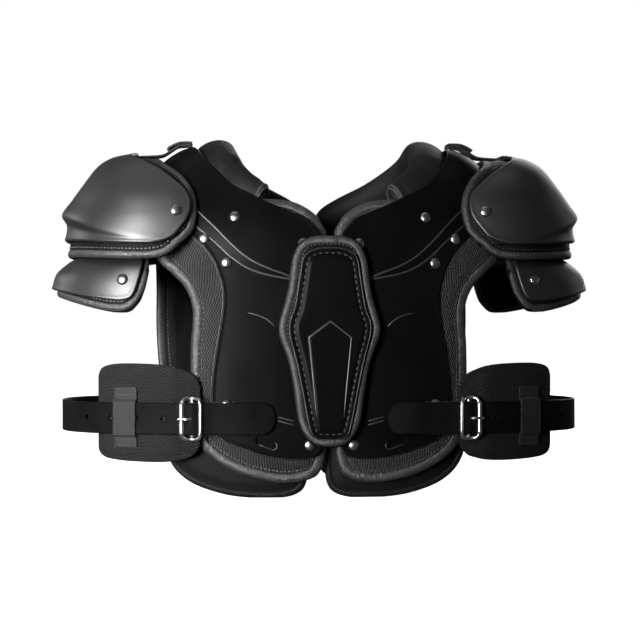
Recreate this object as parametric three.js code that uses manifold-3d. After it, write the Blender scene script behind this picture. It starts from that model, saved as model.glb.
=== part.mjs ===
// Youth football shoulder pad, standing on the lower edges of its pads.
// Millimetres, +Z up, -Y is the chest side, "left" is -X. One side is built at +X and mirrored.

import * as THREE from 'three';
import { mergeVertices } from 'three/addons/utils/BufferGeometryUtils.js';
import Module from 'manifold-3d';

const wasm = await Module();
wasm.setup();

// Clearances and tolerances
const GAP = 0.35;
const PAD_GAP = 1;
const CAP_PAD_GAP = 2.1;
const MERGE = 1e-4;
const STEP = 0.01;

// The hoop that chest, arch and back lie on: straight legs up to legTop, then an arch to the crest
const TORSO = {
  halfWidth: 233,
  halfDepth: 115,
  ovalPower: 2.4,
  legTop: 200,
  crest: 323,
  archPower: 2.3,
  crestFlat: 115,
  crestReach: 160,
  shoulderDrop: 28,
};

const SHELL = { wall: 3, reach: 108, columns: 5 };
const BODY_PAD = { thickness: 10, edge: 0.55, columns: 4 };
const LINING = { thickness: 8, edge: 0.7, columns: 4, shift: -12 };
const NECK_PAD = { sides: 8 };
const SLOT = { reach: 58.5, height: 50, length: 19.5, width: 5.5, slant: 0.42 };

// Shoulder caps, each a dome about its own upright axis. The upper one stands out from the torso
// by CAP_OUT and lies CAP_DROP under its crest, the lower one lies under it at CUP_SHARE of its height
const CAP_OUT = 5;
const CAP_DROP = 1;
const CUP_INSET = 10;
const CUP_SHARE = 0.7205;
const EPAULET = {
  centre: 150,
  reach: 93,
  depth: TORSO.halfDepth + CAP_OUT,
  top: TORSO.crest - CAP_DROP,
  power: 2.3,
  wall: 3,
  pad: 9,
  columns: 10,
};
const CUP = {
  centre: EPAULET.centre,
  reach: 103,
  depth: EPAULET.depth - CUP_INSET,
  top: EPAULET.top * CUP_SHARE,
  power: 2.3,
  wall: 3,
  pad: 8,
  columns: 8,
};
const CAP_PAD_EDGE = 0.65;

const STERNUM = {
  shift: -2.5,
  bottom: 47,
  top: 234,
  halfWidth: 46,
  padThickness: 8,
  standOff: 2.5,
  edge: 0.75,
  plateBottom: 53.5,
  plateTop: 223,
  plateHalfWidth: 36.5,
  wall: 3,
  columns: 4,
};

const RIVET = { headRadius: 4.8, headRise: 2.5, shoulder: [0.78, 0.6], shankRadius: 1.6, sides: 7 };

const BELT = {
  height: 72,
  width: 28.6,
  thickness: 2.2,
  tipReach: 50.5,
  endReach: 80,
  tipLift: 1,
  frontLift: 5.4,
  sideLift: 7.5,
  holeRadius: 2.2,
  holePitch: 25,
  holes: 5,
  tipRamp: 26,
  edgeRamp: 4,
  backRamp: 1.5,
  tipRound: 0.75,
  tipBlunt: 0.25,
  tipSteps: 6,
  chestSteps: 7,
  buckleSpan: 12,
  buckleSteps: 10,
  sideSteps: 16,
};
const BUCKLE = {
  reach: 127,
  width: 25,
  height: 40,
  wire: 1.8,
  bar: 1.6,
  corner: 4,
  rise: 12,
  dip: 4.9,
  bump: 3.5,
  bumpWidth: 6,
  strapThickness: 1.5,
  strapWidth: 30,
  strapStart: 86,
  prong: 1.2,
  sides: 6,
};

// The strap's way to the buckle: how far short of the buckle, as a share of the distance from the
// shell's edge, and how far out, on the way there and folded back under the belt's tip
const STRAP_OUT = [[0.60, 2.4], [0.25, 3.7]];
const STRAP_BACK = [[0.16, 1.8], [0.36, -0.9], [0.62, -3.2], [0.78, -4.1]];
// The prong over the frame: share of the buckle's half width, and how far below its resting lift
const PRONG_PATH = [[0.12, 1.0], [0.45, 0], [1.0, 0], [1.22, 0.3]];
const PRONG_ROOT = 3.4;
// The keeper lies KEEPER_INSET inside the torso's side, the side pad under it and the buckle
const KEEPER_INSET = 46;
const PAD_BEFORE = 16.1;
const PAD_BEHIND = 25.5;
const KEEPER = { reach: TORSO.halfWidth - KEEPER_INSET, width: 23, thickness: 1.7, top: 100, bottom: 46 };
const SIDE_PAD = {
  start: BUCKLE.reach - PAD_BEFORE,
  end: KEEPER.reach + PAD_BEHIND,
  bottom: 30,
  top: 121,
  lift: 6.7,
  back: 2.8,
  columns: 4,
  edge: 0.6,
};
const SHOULDER_STRAP = { width: 26, fold: 5, swell: 2, thickness: 2, foldEnd: 8, drop: 1.9, sink: 6.6, reach: 0.2 };
const BACK_STRAP = { halfLength: 36, width: 25, thickness: 1.6, heights: [0.31, 0.56] };

// Edges of the chest half of the shell: height as a share of the crest,
// inner and outer edge as shares of SHELL.reach
const SHELL_FRONT = [
  [0.110, 0.222, 0.352],
  [0.117, 0.139, 0.509],
  [0.130, 0.097, 0.648],
  [0.146, 0.074, 0.787],
  [0.164, 0.069, 0.898],
  [0.190, 0.069, 0.965],
  [0.279, 0.074, 1.000],
  [0.368, 0.074, 0.981],
  [0.464, 0.074, 0.935],
  [0.529, 0.074, 0.907],
  [0.588, 0.074, 0.911],
  [0.644, 0.074, 0.963],
  [0.690, 0.074, 1.046],
  [0.728, 0.083, 1.157],
  [0.758, 0.140, 1.220],
  [0.783, 0.220, 1.265],
  [0.805, 0.389, 1.296],
  [0.836, 0.593, 1.333],
  [0.879, 0.833, 1.380],
  [0.920, 0.944, 1.407],
  [0.960, 1.037, 1.444],
  [1.000, 1.111, 1.463],
];
const SHELL_BACK = [
  [0.969, 1.020, 1.444],
  [0.938, 0.900, 1.420],
  [0.907, 0.759, 1.400],
  [0.867, 0.580, 1.365],
  [0.824, 0.352, 1.320],
  [0.774, 0.083, 1.250],
  [0.735, 0.074, 1.170],
  [0.690, 0.074, 1.070],
  [0.635, 0.074, 0.975],
  [0.573, 0.074, 0.930],
  [0.440, 0.074, 0.960],
  [0.279, 0.074, 1.010],
  [0.170, 0.074, 0.975],
  [0.128, 0.090, 0.830],
  [0.105, 0.139, 0.640],
  [0.092, 0.240, 0.400],
];

// The same edges for the mesh pad that lines the shell
const PAD_FRONT = [
  [0.043, 0.306, 0.444],
  [0.050, 0.204, 0.556],
  [0.062, 0.120, 0.704],
  [0.084, 0.074, 0.861],
  [0.111, 0.051, 0.991],
  [0.146, 0.037, 1.093],
  [0.192, 0.032, 1.148],
  [0.279, 0.032, 1.176],
  [0.418, 0.032, 1.176],
  [0.525, 0.032, 1.160],
  [0.588, 0.032, 1.231],
  [0.628, 0.032, 1.343],
  [0.656, 0.032, 1.426],
  [0.690, 0.032, 1.470],
  [0.745, 0.032, 1.475],
  [0.774, 0.074, 1.475],
  [0.800, 0.150, 1.475],
  [0.820, 0.320, 1.475],
  [0.826, 0.760, 1.475],
  [0.848, 0.840, 1.475],
  [0.870, 0.910, 1.475],
  [0.895, 1.000, 1.475],
  [0.945, 1.110, 1.475],
  [1.000, 1.215, 1.475],
];
const PAD_BACK = [
  [0.962, 1.125, 1.475],
  [0.920, 0.980, 1.475],
  [0.880, 0.830, 1.475],
  [0.842, 0.650, 1.475],
  [0.800, 0.430, 1.475],
  [0.774, 0.290, 1.475],
  [0.750, 0.160, 1.475],
  [0.742, 0.037, 1.475],
  [0.690, 0.032, 1.463],
  [0.588, 0.032, 1.454],
  [0.464, 0.032, 1.454],
  [0.341, 0.032, 1.426],
  [0.217, 0.032, 1.370],
  [0.139, 0.032, 1.306],
  [0.087, 0.037, 1.204],
  [0.050, 0.065, 1.093],
  [0.025, 0.111, 0.981],
  [0.009, 0.185, 0.852],
  [0.000, 0.278, 0.694],
];

// The lower lining pad behind the chest pad
const LINING_ROWS = [
  [0.000, 0.296, 0.574],
  [0.006, 0.204, 0.741],
  [0.019, 0.130, 0.907],
  [0.037, 0.093, 1.056],
  [0.062, 0.074, 1.176],
  [0.093, 0.074, 1.259],
  [0.130, 0.074, 1.306],
  [0.192, 0.093, 1.306],
  [0.263, 0.130, 1.250],
  [0.334, 0.204, 1.111],
];

// Collar roll along the shell's neck edge. face: -1 chest, 1 back. reach and height place the
// edge, along, sink, half width and half thickness are shares of the roll's full half width
const ROLL = { halfWidth: 17, tilt: 0.26 };
const ROLL_ROWS = [
  { face: -1, reach: 0.580, height: 0.834, along: 0.38, sink: 0.62, wide: 0.56, thick: 0.38 },
  { face: -1, reach: 0.620, height: 0.841, along: 0.42, sink: 0.68, wide: 0.74, thick: 0.52 },
  { face: -1, reach: 0.680, height: 0.851, along: 0.46, sink: 0.70, wide: 0.86, thick: 0.58 },
  { face: -1, reach: 0.800, height: 0.874, along: 0.50, sink: 0.66, wide: 0.96, thick: 0.62 },
  { face: -1, reach: 0.920, height: 0.911, along: 0.62, sink: 0.66, wide: 1.04, thick: 0.66 },
  { face: -1, reach: 1.020, height: 0.951, along: 0.80, sink: 0.62, wide: 1.14, thick: 0.74 },
  { face: -1, reach: 1.111, height: 1.000, along: 1.06, sink: 0.58, wide: 1.20, thick: 0.80 },
  { face: 1, reach: 1.040, height: 0.975, along: 0.94, sink: 0.60, wide: 1.14, thick: 0.76 },
  { face: 1, reach: 0.920, height: 0.943, along: 0.74, sink: 0.66, wide: 1.04, thick: 0.70 },
  { face: 1, reach: 0.759, height: 0.907, along: 0.56, sink: 0.66, wide: 0.96, thick: 0.64 },
  { face: 1, reach: 0.580, height: 0.867, along: 0.50, sink: 0.66, wide: 0.92, thick: 0.62 },
  { face: 1, reach: 0.352, height: 0.824, along: 0.50, sink: 0.66, wide: 0.90, thick: 0.60 },
  { face: 1, reach: 0.170, height: 0.791, along: 0.46, sink: 0.64, wide: 0.80, thick: 0.54 },
  { face: 1, reach: 0.075, height: 0.774, along: 0.40, sink: 0.60, wide: 0.50, thick: 0.36 },
];

// Profiles of the caps: reach and height at the side, depth and height at the chest,
// as shares of the cap's reach, top, depth and top
const EPAULET_ROWS = [
  [1.022, 0.683, 0.996, 0.665],
  [0.978, 0.724, 0.996, 0.708],
  [0.957, 0.764, 1.004, 0.748],
  [1.000, 0.801, 0.996, 0.786],
  [0.903, 0.842, 0.958, 0.826],
  [0.796, 0.885, 0.892, 0.866],
  [0.656, 0.938, 0.767, 0.913],
  [0.527, 0.966, 0.608, 0.950],
  [0.398, 0.983, 0.433, 0.975],
  [0.237, 0.994, 0.242, 0.992],
  [0.032, 1.000, 0.025, 1.000],
];
const CUP_ROWS = [
  [1.000, 0.780, 1.000, 0.709],
  [1.000, 0.797, 1.000, 0.733],
  [0.990, 0.823, 1.000, 0.772],
  [0.951, 0.875, 0.982, 0.836],
  [0.845, 0.918, 0.955, 0.892],
  [0.750, 0.946, 0.905, 0.922],
  [0.700, 1.000, 0.850, 0.962],
];

// Neck-side edge of each cap piece: profile row, and how far the edge lies inside the cap's axis,
// as a share of the cap's reach
const EPAULET_SHELL_EDGE = [
  [1.0, -0.108],
  [1.2, 0.010],
  [1.5, 0.086],
  [2.0, 0.150],
  [3.0, 0.258],
  [4.0, 0.285],
  [5.0, 0.226],
  [6.0, 0.032],
  [7.0, -0.161],
  [8.0, -0.235],
  [9.0, -0.230],
];
const EPAULET_PAD_EDGE = [
  [0.0, -0.172],
  [0.3, 0.070],
  [1.0, 0.225],
  [1.5, 0.285],
  [2.0, 0.318],
  [3.0, 0.360],
  [4.0, 0.366],
  [5.0, 0.339],
  [6.0, 0.231],
  [7.0, 0.097],
  [8.0, 0.022],
  [9.0, 0.000],
  [10.0, 0.000],
];
const CUP_SHELL_EDGE = [
  [1.7, -0.388],
  [1.9, -0.301],
  [2.3, -0.252],
  [3.0, -0.214],
  [4.0, -0.184],
  [5.0, -0.175],
  [6.0, -0.175],
];
const CUP_PAD_EDGE = [
  [0.0, -0.485],
  [0.4, -0.340],
  [1.0, -0.272],
  [2.0, -0.204],
  [3.0, -0.150],
  [4.0, -0.126],
  [5.0, -0.126],
  [6.0, -0.126],
];

// Sternum outlines: share of the piece's height, half width as a share of its own half width
const STERNUM_PAD_ROWS = [
  [0.000, 0.174],
  [0.011, 0.326],
  [0.032, 0.413],
  [0.077, 0.537],
  [0.139, 0.624],
  [0.246, 0.674],
  [0.342, 0.739],
  [0.417, 0.804],
  [0.508, 0.950],
  [0.567, 1.000],
  [0.631, 0.935],
  [0.706, 0.848],
  [0.775, 0.783],
  [0.872, 0.746],
  [0.930, 0.674],
  [0.968, 0.576],
  [0.989, 0.435],
  [1.000, 0.239],
];
const STERNUM_PLATE_ROWS = [
  [0.000, 0.247],
  [0.006, 0.329],
  [0.021, 0.433],
  [0.086, 0.529],
  [0.215, 0.644],
  [0.392, 0.803],
  [0.581, 1.000],
  [0.699, 0.858],
  [0.847, 0.748],
  [0.947, 0.671],
  [0.976, 0.548],
  [0.994, 0.356],
  [1.000, 0.219],
];

// Side pad: share of the way from SIDE_PAD.start to SIDE_PAD.end, low and high edge as shares of
// its height, and how far it stands out as a share of SIDE_PAD.lift
const SIDE_PAD_ROWS = [
  [0.000, 0.21, 0.77, 0.00],
  [0.050, 0.16, 0.83, 0.12],
  [0.110, 0.10, 0.88, 0.29],
  [0.158, 0.07, 0.91, 0.42],
  [0.227, 0.05, 0.94, 0.60],
  [0.312, 0.02, 0.97, 1.00],
  [0.422, 0.00, 0.99, 1.00],
  [0.583, 0.00, 1.00, 1.00],
  [0.777, 0.00, 1.00, 1.00],
  [0.904, 0.03, 0.97, 1.00],
  [0.972, 0.10, 0.90, 1.00],
  [1.000, 0.20, 0.80, 1.00],
];

// Rivets on the shell: reach and height as shares of SHELL.reach and TORSO.crest
const SHELL_RIVETS = [
  { name: 'rivet_collar', reach: 0.796, height: 0.780 },
  { name: 'rivet_ridge', reach: 0.870, height: 0.653 },
  { name: 'rivet_shoulder', reach: 1.050, height: 0.721 },
  { name: 'rivet_sternum_low', reach: 0.182, height: 0.149 },
  { name: 'rivet_sternum_high', reach: 0.231, height: 0.706 },
];
const STRAP_RIVET = { name: 'rivet_buckle', reach: 0.870, height: 0.260 };
const CAP_RIVETS = [
  { name: 'rivet_epaulet', cap: 'epaulet', row: 3.7, inward: 0.108 },
  { name: 'rivet_cup', cap: 'cup', row: 3.1, inward: -0.350 },
];

const plastic = new THREE.MeshStandardMaterial({ color: 0x1b1b1d, roughness: 0.32, metalness: 0 });
const mesh = new THREE.MeshStandardMaterial({ color: 0x202124, roughness: 0.9, metalness: 0 });
const lining = new THREE.MeshStandardMaterial({ color: 0x26272a, roughness: 0.6, metalness: 0 });
const webbing = new THREE.MeshStandardMaterial({ color: 0x151517, roughness: 0.8, metalness: 0 });
const vinyl = new THREE.MeshStandardMaterial({ color: 0x1c1c1f, roughness: 0.5, metalness: 0 });
const steel = new THREE.MeshStandardMaterial({ color: 0xc8c9cc, roughness: 0.2, metalness: 1 });

// Geometry and solids

function closedGeometry(points, triangles) {
  const raw = new THREE.BufferGeometry();
  raw.setAttribute('position', new THREE.Float32BufferAttribute(points.flatMap((p) => p.toArray()), 3));
  raw.setIndex(triangles.flat());
  return withoutSlivers(raw);
}

function withoutSlivers(geometry) {
  const plain = new THREE.BufferGeometry();
  plain.setAttribute('position', geometry.getAttribute('position').clone());
  if (geometry.index) plain.setIndex(geometry.index.clone());
  const merged = mergeVertices(plain, MERGE);
  const index = merged.index.array;
  const kept = [];
  for (let i = 0; i < index.length; i += 3) {
    const [a, b, c] = [index[i], index[i + 1], index[i + 2]];
    if (a !== b && b !== c && c !== a) kept.push(a, b, c);
  }
  if (signedVolume(merged.attributes.position, kept) < 0) {
    for (let i = 0; i < kept.length; i += 3) [kept[i], kept[i + 1]] = [kept[i + 1], kept[i]];
  }
  merged.setIndex(kept);
  merged.computeVertexNormals();
  return merged;
}

function signedVolume(position, index) {
  const [a, b, c] = [new THREE.Vector3(), new THREE.Vector3(), new THREE.Vector3()];
  let total = 0;
  for (let i = 0; i < index.length; i += 3) {
    a.fromBufferAttribute(position, index[i]);
    b.fromBufferAttribute(position, index[i + 1]);
    c.fromBufferAttribute(position, index[i + 2]);
    total += a.dot(b.cross(c)) / 6;
  }
  return total;
}

function toSolid(geometry) {
  const closed = withoutSlivers(geometry);
  return new wasm.Manifold(new wasm.Mesh({
    numProp: 3,
    vertProperties: new Float32Array(closed.attributes.position.array),
    triVerts: new Uint32Array(closed.index.array),
  }));
}

function fromSolid(solid) {
  const result = solid.getMesh();
  const geometry = new THREE.BufferGeometry();
  geometry.setAttribute('position', new THREE.BufferAttribute(new Float32Array(result.vertProperties), 3));
  geometry.setIndex(new THREE.BufferAttribute(new Uint32Array(result.triVerts), 1));
  geometry.computeVertexNormals();
  return geometry;
}

function cutAway(geometry, cutters) {
  const solid = cutters.reduce((rest, cutter) => rest.subtract(toSolid(cutter)), toSolid(geometry));
  return fromSolid(solid);
}

// A closed sheet between two grids of points, each a list of rows
function sheetBetween(outside, inside) {
  const rows = outside.length;
  const columns = outside[0].length;
  const points = [...outside.flat(), ...inside.flat()];
  const near = (row, column) => row * columns + column;
  const far = (row, column) => rows * columns + row * columns + column;
  const triangles = [];
  const quad = (a, b, c, d) => triangles.push([a, b, c], [a, c, d]);
  for (let row = 0; row < rows - 1; row += 1) {
    for (let column = 0; column < columns - 1; column += 1) {
      quad(near(row, column), near(row, column + 1), near(row + 1, column + 1), near(row + 1, column));
      quad(far(row, column), far(row + 1, column), far(row + 1, column + 1), far(row, column + 1));
    }
  }
  const rim = [];
  for (let column = 0; column < columns - 1; column += 1) rim.push([0, column]);
  for (let row = 0; row < rows - 1; row += 1) rim.push([row, columns - 1]);
  for (let column = columns - 1; column > 0; column -= 1) rim.push([rows - 1, column]);
  for (let row = rows - 1; row > 0; row -= 1) rim.push([row, 0]);
  rim.forEach((from, i) => {
    const to = rim[(i + 1) % rim.length];
    quad(near(...to), near(...from), far(...from), far(...to));
  });
  return closedGeometry(points, triangles);
}

// place(row, across, lift) gives a point; near and deep are the lifts of the two faces, and
// edge is the share of the thickness that is left at the rim
function sheetOn(place, rows, columns, near, deep, edge = 1) {
  const face = (lift) => Array.from({ length: rows }, (_, row) => (
    Array.from({ length: columns + 1 }, (_, column) => {
      const onRim = row === 0 || row === rows - 1 || column === 0 || column === columns;
      const middle = (near + deep) / 2;
      return place(row, column / columns, onRim ? middle + (lift - middle) * edge : lift);
    })
  ));
  return sheetBetween(face(near), face(deep));
}

// A rod of round section along a list of points, open-ended or a ring
function rodAlong(points, radius, sides, closed = false) {
  const rings = points.map((point, i) => {
    const count = points.length;
    const before = points[closed ? (i - 1 + count) % count : Math.max(0, i - 1)];
    const after = points[closed ? (i + 1) % count : Math.min(count - 1, i + 1)];
    const ahead = after.clone().sub(before).normalize();
    const side = new THREE.Vector3(0, 0, 1).cross(ahead);
    if (side.length() < 0.2) side.copy(new THREE.Vector3(1, 0, 0).cross(ahead));
    side.normalize();
    const up = ahead.clone().cross(side);
    return { point, side, up };
  });
  for (let i = 1; i < rings.length; i += 1) {
    const last = rings[i - 1].side;
    const ahead = rings[i].side.clone().cross(rings[i].up);
    const carried = last.clone().sub(ahead.clone().multiplyScalar(last.dot(ahead))).normalize();
    rings[i].side = carried;
    rings[i].up = ahead.clone().cross(carried);
  }
  const vertices = [];
  rings.forEach(({ point, side, up }) => {
    for (let k = 0; k < sides; k += 1) {
      const turn = (2 * Math.PI * k) / sides;
      vertices.push(point.clone()
        .addScaledVector(side, radius * Math.cos(turn))
        .addScaledVector(up, radius * Math.sin(turn)));
    }
  });
  const triangles = [];
  const spans = closed ? rings.length : rings.length - 1;
  for (let i = 0; i < spans; i += 1) {
    for (let k = 0; k < sides; k += 1) {
      const a = i * sides + k;
      const b = i * sides + ((k + 1) % sides);
      const c = ((i + 1) % rings.length) * sides + k;
      const d = ((i + 1) % rings.length) * sides + ((k + 1) % sides);
      triangles.push([a, b, d], [a, d, c]);
    }
  }
  if (!closed) {
    const last = (rings.length - 1) * sides;
    for (let k = 1; k < sides - 1; k += 1) {
      triangles.push([0, k + 1, k], [last, last + k, last + k + 1]);
    }
  }
  return closedGeometry(vertices, triangles);
}

function pin(point, normal, radius, length, sides = 8) {
  const geometry = new THREE.CylinderGeometry(radius, radius, length, sides);
  geometry.applyQuaternion(new THREE.Quaternion().setFromUnitVectors(new THREE.Vector3(0, 1, 0), normal));
  return geometry.translate(point.x, point.y, point.z);
}

// The torso surface

function torsoDepth(reach) {
  const share = Math.min(Math.abs(reach) / TORSO.halfWidth, 0.999);
  return TORSO.halfDepth * (1 - share ** TORSO.ovalPower) ** (1 / TORSO.ovalPower);
}

function crestHeight(reach) {
  const past = Math.max(0, Math.abs(reach) - TORSO.crestFlat) / (TORSO.crestReach - TORSO.crestFlat);
  return TORSO.crest - TORSO.shoulderDrop * past ** 2;
}

// A turn runs up the chest leg (below 0), over the arch (0 to PI) and down the back leg
function turnAt(height, face) {
  const rise = (height - TORSO.legTop) / (TORSO.crest - TORSO.legTop);
  const turn = rise <= 0 ? rise : Math.asin(Math.min(1, rise) ** (TORSO.archPower / 2));
  return face < 0 ? turn : Math.PI - turn;
}

function torsoSurface(reach, turn) {
  const arch = crestHeight(reach) - TORSO.legTop;
  const leg = TORSO.crest - TORSO.legTop;
  const depth = torsoDepth(reach);
  if (turn < 0) return new THREE.Vector3(reach, -depth, TORSO.legTop + turn * leg);
  if (turn > Math.PI) return new THREE.Vector3(reach, depth, TORSO.legTop - (turn - Math.PI) * leg);
  const power = 2 / TORSO.archPower;
  const forward = Math.sign(Math.cos(turn)) * Math.abs(Math.cos(turn)) ** power;
  return new THREE.Vector3(reach, -depth * forward, TORSO.legTop + arch * Math.sin(turn) ** power);
}

function torsoNormal(reach, turn) {
  const across = torsoSurface(reach + STEP, turn).sub(torsoSurface(reach - STEP, turn));
  const along = torsoSurface(reach, turn + STEP).sub(torsoSurface(reach, turn - STEP));
  return across.cross(along).normalize();
}

function onTorso(reach, turn, lift) {
  return torsoSurface(reach, turn).addScaledVector(torsoNormal(reach, turn), lift);
}

// Rows of [height share, inner share, outer share] as a sheet along the torso
function torsoSheet(rows, columns, near, deep, edge) {
  const place = (row, across, lift) => {
    const { turn, inner, outer } = rows[row];
    return onTorso(inner + (outer - inner) * across, turn, lift);
  };
  return sheetOn(place, rows.length, columns, near, deep, edge);
}

function torsoRows(table, face) {
  return table.map(([height, inner, outer]) => ({
    turn: turnAt(height * TORSO.crest, face),
    inner: inner * SHELL.reach,
    outer: outer * SHELL.reach,
  }));
}

// The belt line round the torso: an angle from the middle of the chest to the middle of the back

function girdleAngle(reach, face) {
  const angle = Math.asin((reach / TORSO.halfWidth) ** (TORSO.ovalPower / 2));
  return face < 0 ? angle : Math.PI - angle;
}

function girdleBase(angle) {
  const power = 2 / TORSO.ovalPower;
  const forward = Math.sign(Math.cos(angle)) * Math.abs(Math.cos(angle)) ** power;
  return new THREE.Vector3(TORSO.halfWidth * Math.sin(angle) ** power, -TORSO.halfDepth * forward, 0);
}

function girdleNormal(angle) {
  const along = girdleBase(angle + STEP).sub(girdleBase(angle - STEP));
  return new THREE.Vector3(along.y * -1, along.x, 0).normalize().multiplyScalar(-1);
}

function onGirdle(angle, lift, height) {
  return girdleBase(angle).addScaledVector(girdleNormal(angle), lift).setZ(height);
}

// The angle that lies a distance further along the belt line
function girdleFrom(angle, distance) {
  const step = 0.002 * Math.sign(distance);
  let walked = 0;
  let turned = angle;
  let last = girdleBase(angle);
  while (walked < Math.abs(distance)) {
    turned += step;
    const next = girdleBase(turned);
    walked += next.distanceTo(last);
    last = next;
  }
  return turned;
}

// Shoulder caps

function profileValue(rows, column, position) {
  const low = Math.min(rows.length - 2, Math.max(0, Math.floor(position)));
  const t = position - low;
  const value = (i) => rows[Math.min(rows.length - 1, Math.max(0, i))][column];
  const [a, b, c, d] = [value(low - 1), value(low), value(low + 1), value(low + 2)];
  return b + 0.5 * t * (c - a + t * (2 * a - 5 * b + 4 * c - d + t * (3 * (b - c) + d - a)));
}

function capSurface(cap, rows, position, angle) {
  const reach = cap.reach * profileValue(rows, 0, position);
  const sideHeight = cap.top * profileValue(rows, 1, position);
  const depth = cap.depth * profileValue(rows, 2, position);
  const chestHeight = cap.top * profileValue(rows, 3, position);
  const power = 2 / cap.power;
  const [c, s] = [Math.cos(angle), Math.sin(angle)];
  return new THREE.Vector3(
    cap.centre + reach * Math.sign(c) * Math.abs(c) ** power,
    -depth * Math.sign(s) * Math.abs(s) ** power,
    sideHeight + (chestHeight - sideHeight) * s * s,
  );
}

function onCap(cap, rows, position, angle, lift) {
  const around = capSurface(cap, rows, position, angle + STEP).sub(capSurface(cap, rows, position, angle - STEP));
  const up = capSurface(cap, rows, position + STEP, angle).sub(capSurface(cap, rows, position - STEP, angle));
  const normal = up.cross(around).normalize();
  return { point: capSurface(cap, rows, position, angle).addScaledVector(normal, lift), normal };
}

// The angle at which a profile row reaches a distance inside the cap's axis
function capEdgeAngle(cap, rows, position, inward) {
  const share = Math.min(1, Math.abs(inward) / profileValue(rows, 0, position));
  return Math.acos(-Math.sign(inward) * share ** (cap.power / 2));
}

function capSheet(cap, rows, edgeRows, near, deep, edge) {
  const place = (row, across, lift) => {
    const [position, inward] = edgeRows[row];
    const limit = capEdgeAngle(cap, rows, position, inward);
    return onCap(cap, rows, position, limit * (1 - 2 * across), lift).point;
  };
  return sheetOn(place, edgeRows.length, cap.columns, near, deep, edge);
}

// Rivets

function rivetGeometry(shankLength) {
  const profile = [
    [0, -shankLength],
    [RIVET.shankRadius, -shankLength],
    [RIVET.shankRadius, 0],
    [RIVET.headRadius, 0],
    [RIVET.headRadius * RIVET.shoulder[0], RIVET.headRise * RIVET.shoulder[1]],
    [0, RIVET.headRise],
  ].map(([radius, height]) => new THREE.Vector2(radius, height));
  return withoutSlivers(new THREE.LatheGeometry(profile, RIVET.sides));
}

function rivet(name, point, normal, wall) {
  const piece = new THREE.Mesh(rivetGeometry(wall), steel);
  piece.name = name;
  piece.position.copy(point).addScaledVector(normal, GAP);
  piece.quaternion.setFromUnitVectors(new THREE.Vector3(0, 1, 0), normal);
  return piece;
}

function shellRivetSeat({ reach, height }) {
  const turn = turnAt(height * TORSO.crest, -1);
  return { point: onTorso(reach * SHELL.reach, turn, 0), normal: torsoNormal(reach * SHELL.reach, turn) };
}

function rivetHole({ point, normal }, wall) {
  return pin(point, normal, RIVET.shankRadius + GAP, wall * 4);
}

// Pieces of one side

function bodyShell() {
  const rows = [...torsoRows(SHELL_FRONT, -1), ...torsoRows(SHELL_BACK, 1)];
  const sheet = torsoSheet(rows, SHELL.columns, 0, -SHELL.wall);
  const holes = [...SHELL_RIVETS, STRAP_RIVET].map((seat) => rivetHole(shellRivetSeat(seat), SHELL.wall));
  return cutAway(sheet, [...holes, slotCutter()]);
}

// A slanted slot with round ends near the lower edge of the chest plate
function slotCutter() {
  const half = (SLOT.length - SLOT.width) / 2;
  const radius = SLOT.width / 2;
  const outline = new THREE.Shape();
  outline.absarc(half, 0, radius, -Math.PI / 2, Math.PI / 2);
  outline.absarc(-half, 0, radius, Math.PI / 2, (3 * Math.PI) / 2);
  const depth = SHELL.wall * 8;
  const cutter = new THREE.ExtrudeGeometry(outline, { depth, bevelEnabled: false, curveSegments: 4 });
  cutter.rotateZ(SLOT.slant);
  cutter.rotateX(Math.PI / 2);
  return cutter.translate(SLOT.reach, -torsoDepth(SLOT.reach) + depth / 2, SLOT.height);
}

function bodyPad() {
  const rows = [...torsoRows(PAD_FRONT, -1), ...torsoRows(PAD_BACK, 1)];
  const near = -SHELL.wall - PAD_GAP;
  return torsoSheet(rows, BODY_PAD.columns, near, near - BODY_PAD.thickness, BODY_PAD.edge);
}

// The lining pads hang a little to one side, so the one of each side is shifted its own way
function liningPad(sign) {
  const near = -SHELL.wall - 2 * PAD_GAP - BODY_PAD.thickness;
  const shift = sign * LINING.shift;
  const rows = torsoRows(LINING_ROWS, -1)
    .map(({ turn, inner, outer }) => ({ turn, inner: inner + shift, outer: outer + shift }));
  return torsoSheet(rows, LINING.columns, near, near - LINING.thickness, LINING.edge);
}

function neckPad() {
  const stations = ROLL_ROWS.map((row) => {
    const reach = row.reach * SHELL.reach;
    const turn = turnAt(row.height * TORSO.crest, row.face);
    return { ...row, edge: torsoSurface(reach, turn), normal: torsoNormal(reach, turn) };
  });
  const rings = stations.map((station, i) => {
    const before = stations[Math.max(0, i - 1)].edge;
    const after = stations[Math.min(stations.length - 1, i + 1)].edge;
    const ahead = after.clone().sub(before).normalize();
    const inward = station.normal.clone().cross(ahead).normalize();
    if (inward.x > 0) inward.negate();
    const centre = station.edge.clone()
      .addScaledVector(inward, station.along * ROLL.halfWidth)
      .addScaledVector(station.normal, -station.sink * ROLL.halfWidth);
    const wide = inward.clone().multiplyScalar(Math.cos(ROLL.tilt))
      .addScaledVector(station.normal, Math.sin(ROLL.tilt));
    const thick = wide.clone().cross(ahead).normalize();
    return Array.from({ length: NECK_PAD.sides }, (_, k) => {
      const turn = (2 * Math.PI * k) / NECK_PAD.sides;
      return centre.clone()
        .addScaledVector(wide, Math.cos(turn) * station.wide * ROLL.halfWidth)
        .addScaledVector(thick, Math.sin(turn) * station.thick * ROLL.halfWidth);
    });
  });
  return lofted(rings);
}

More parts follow.
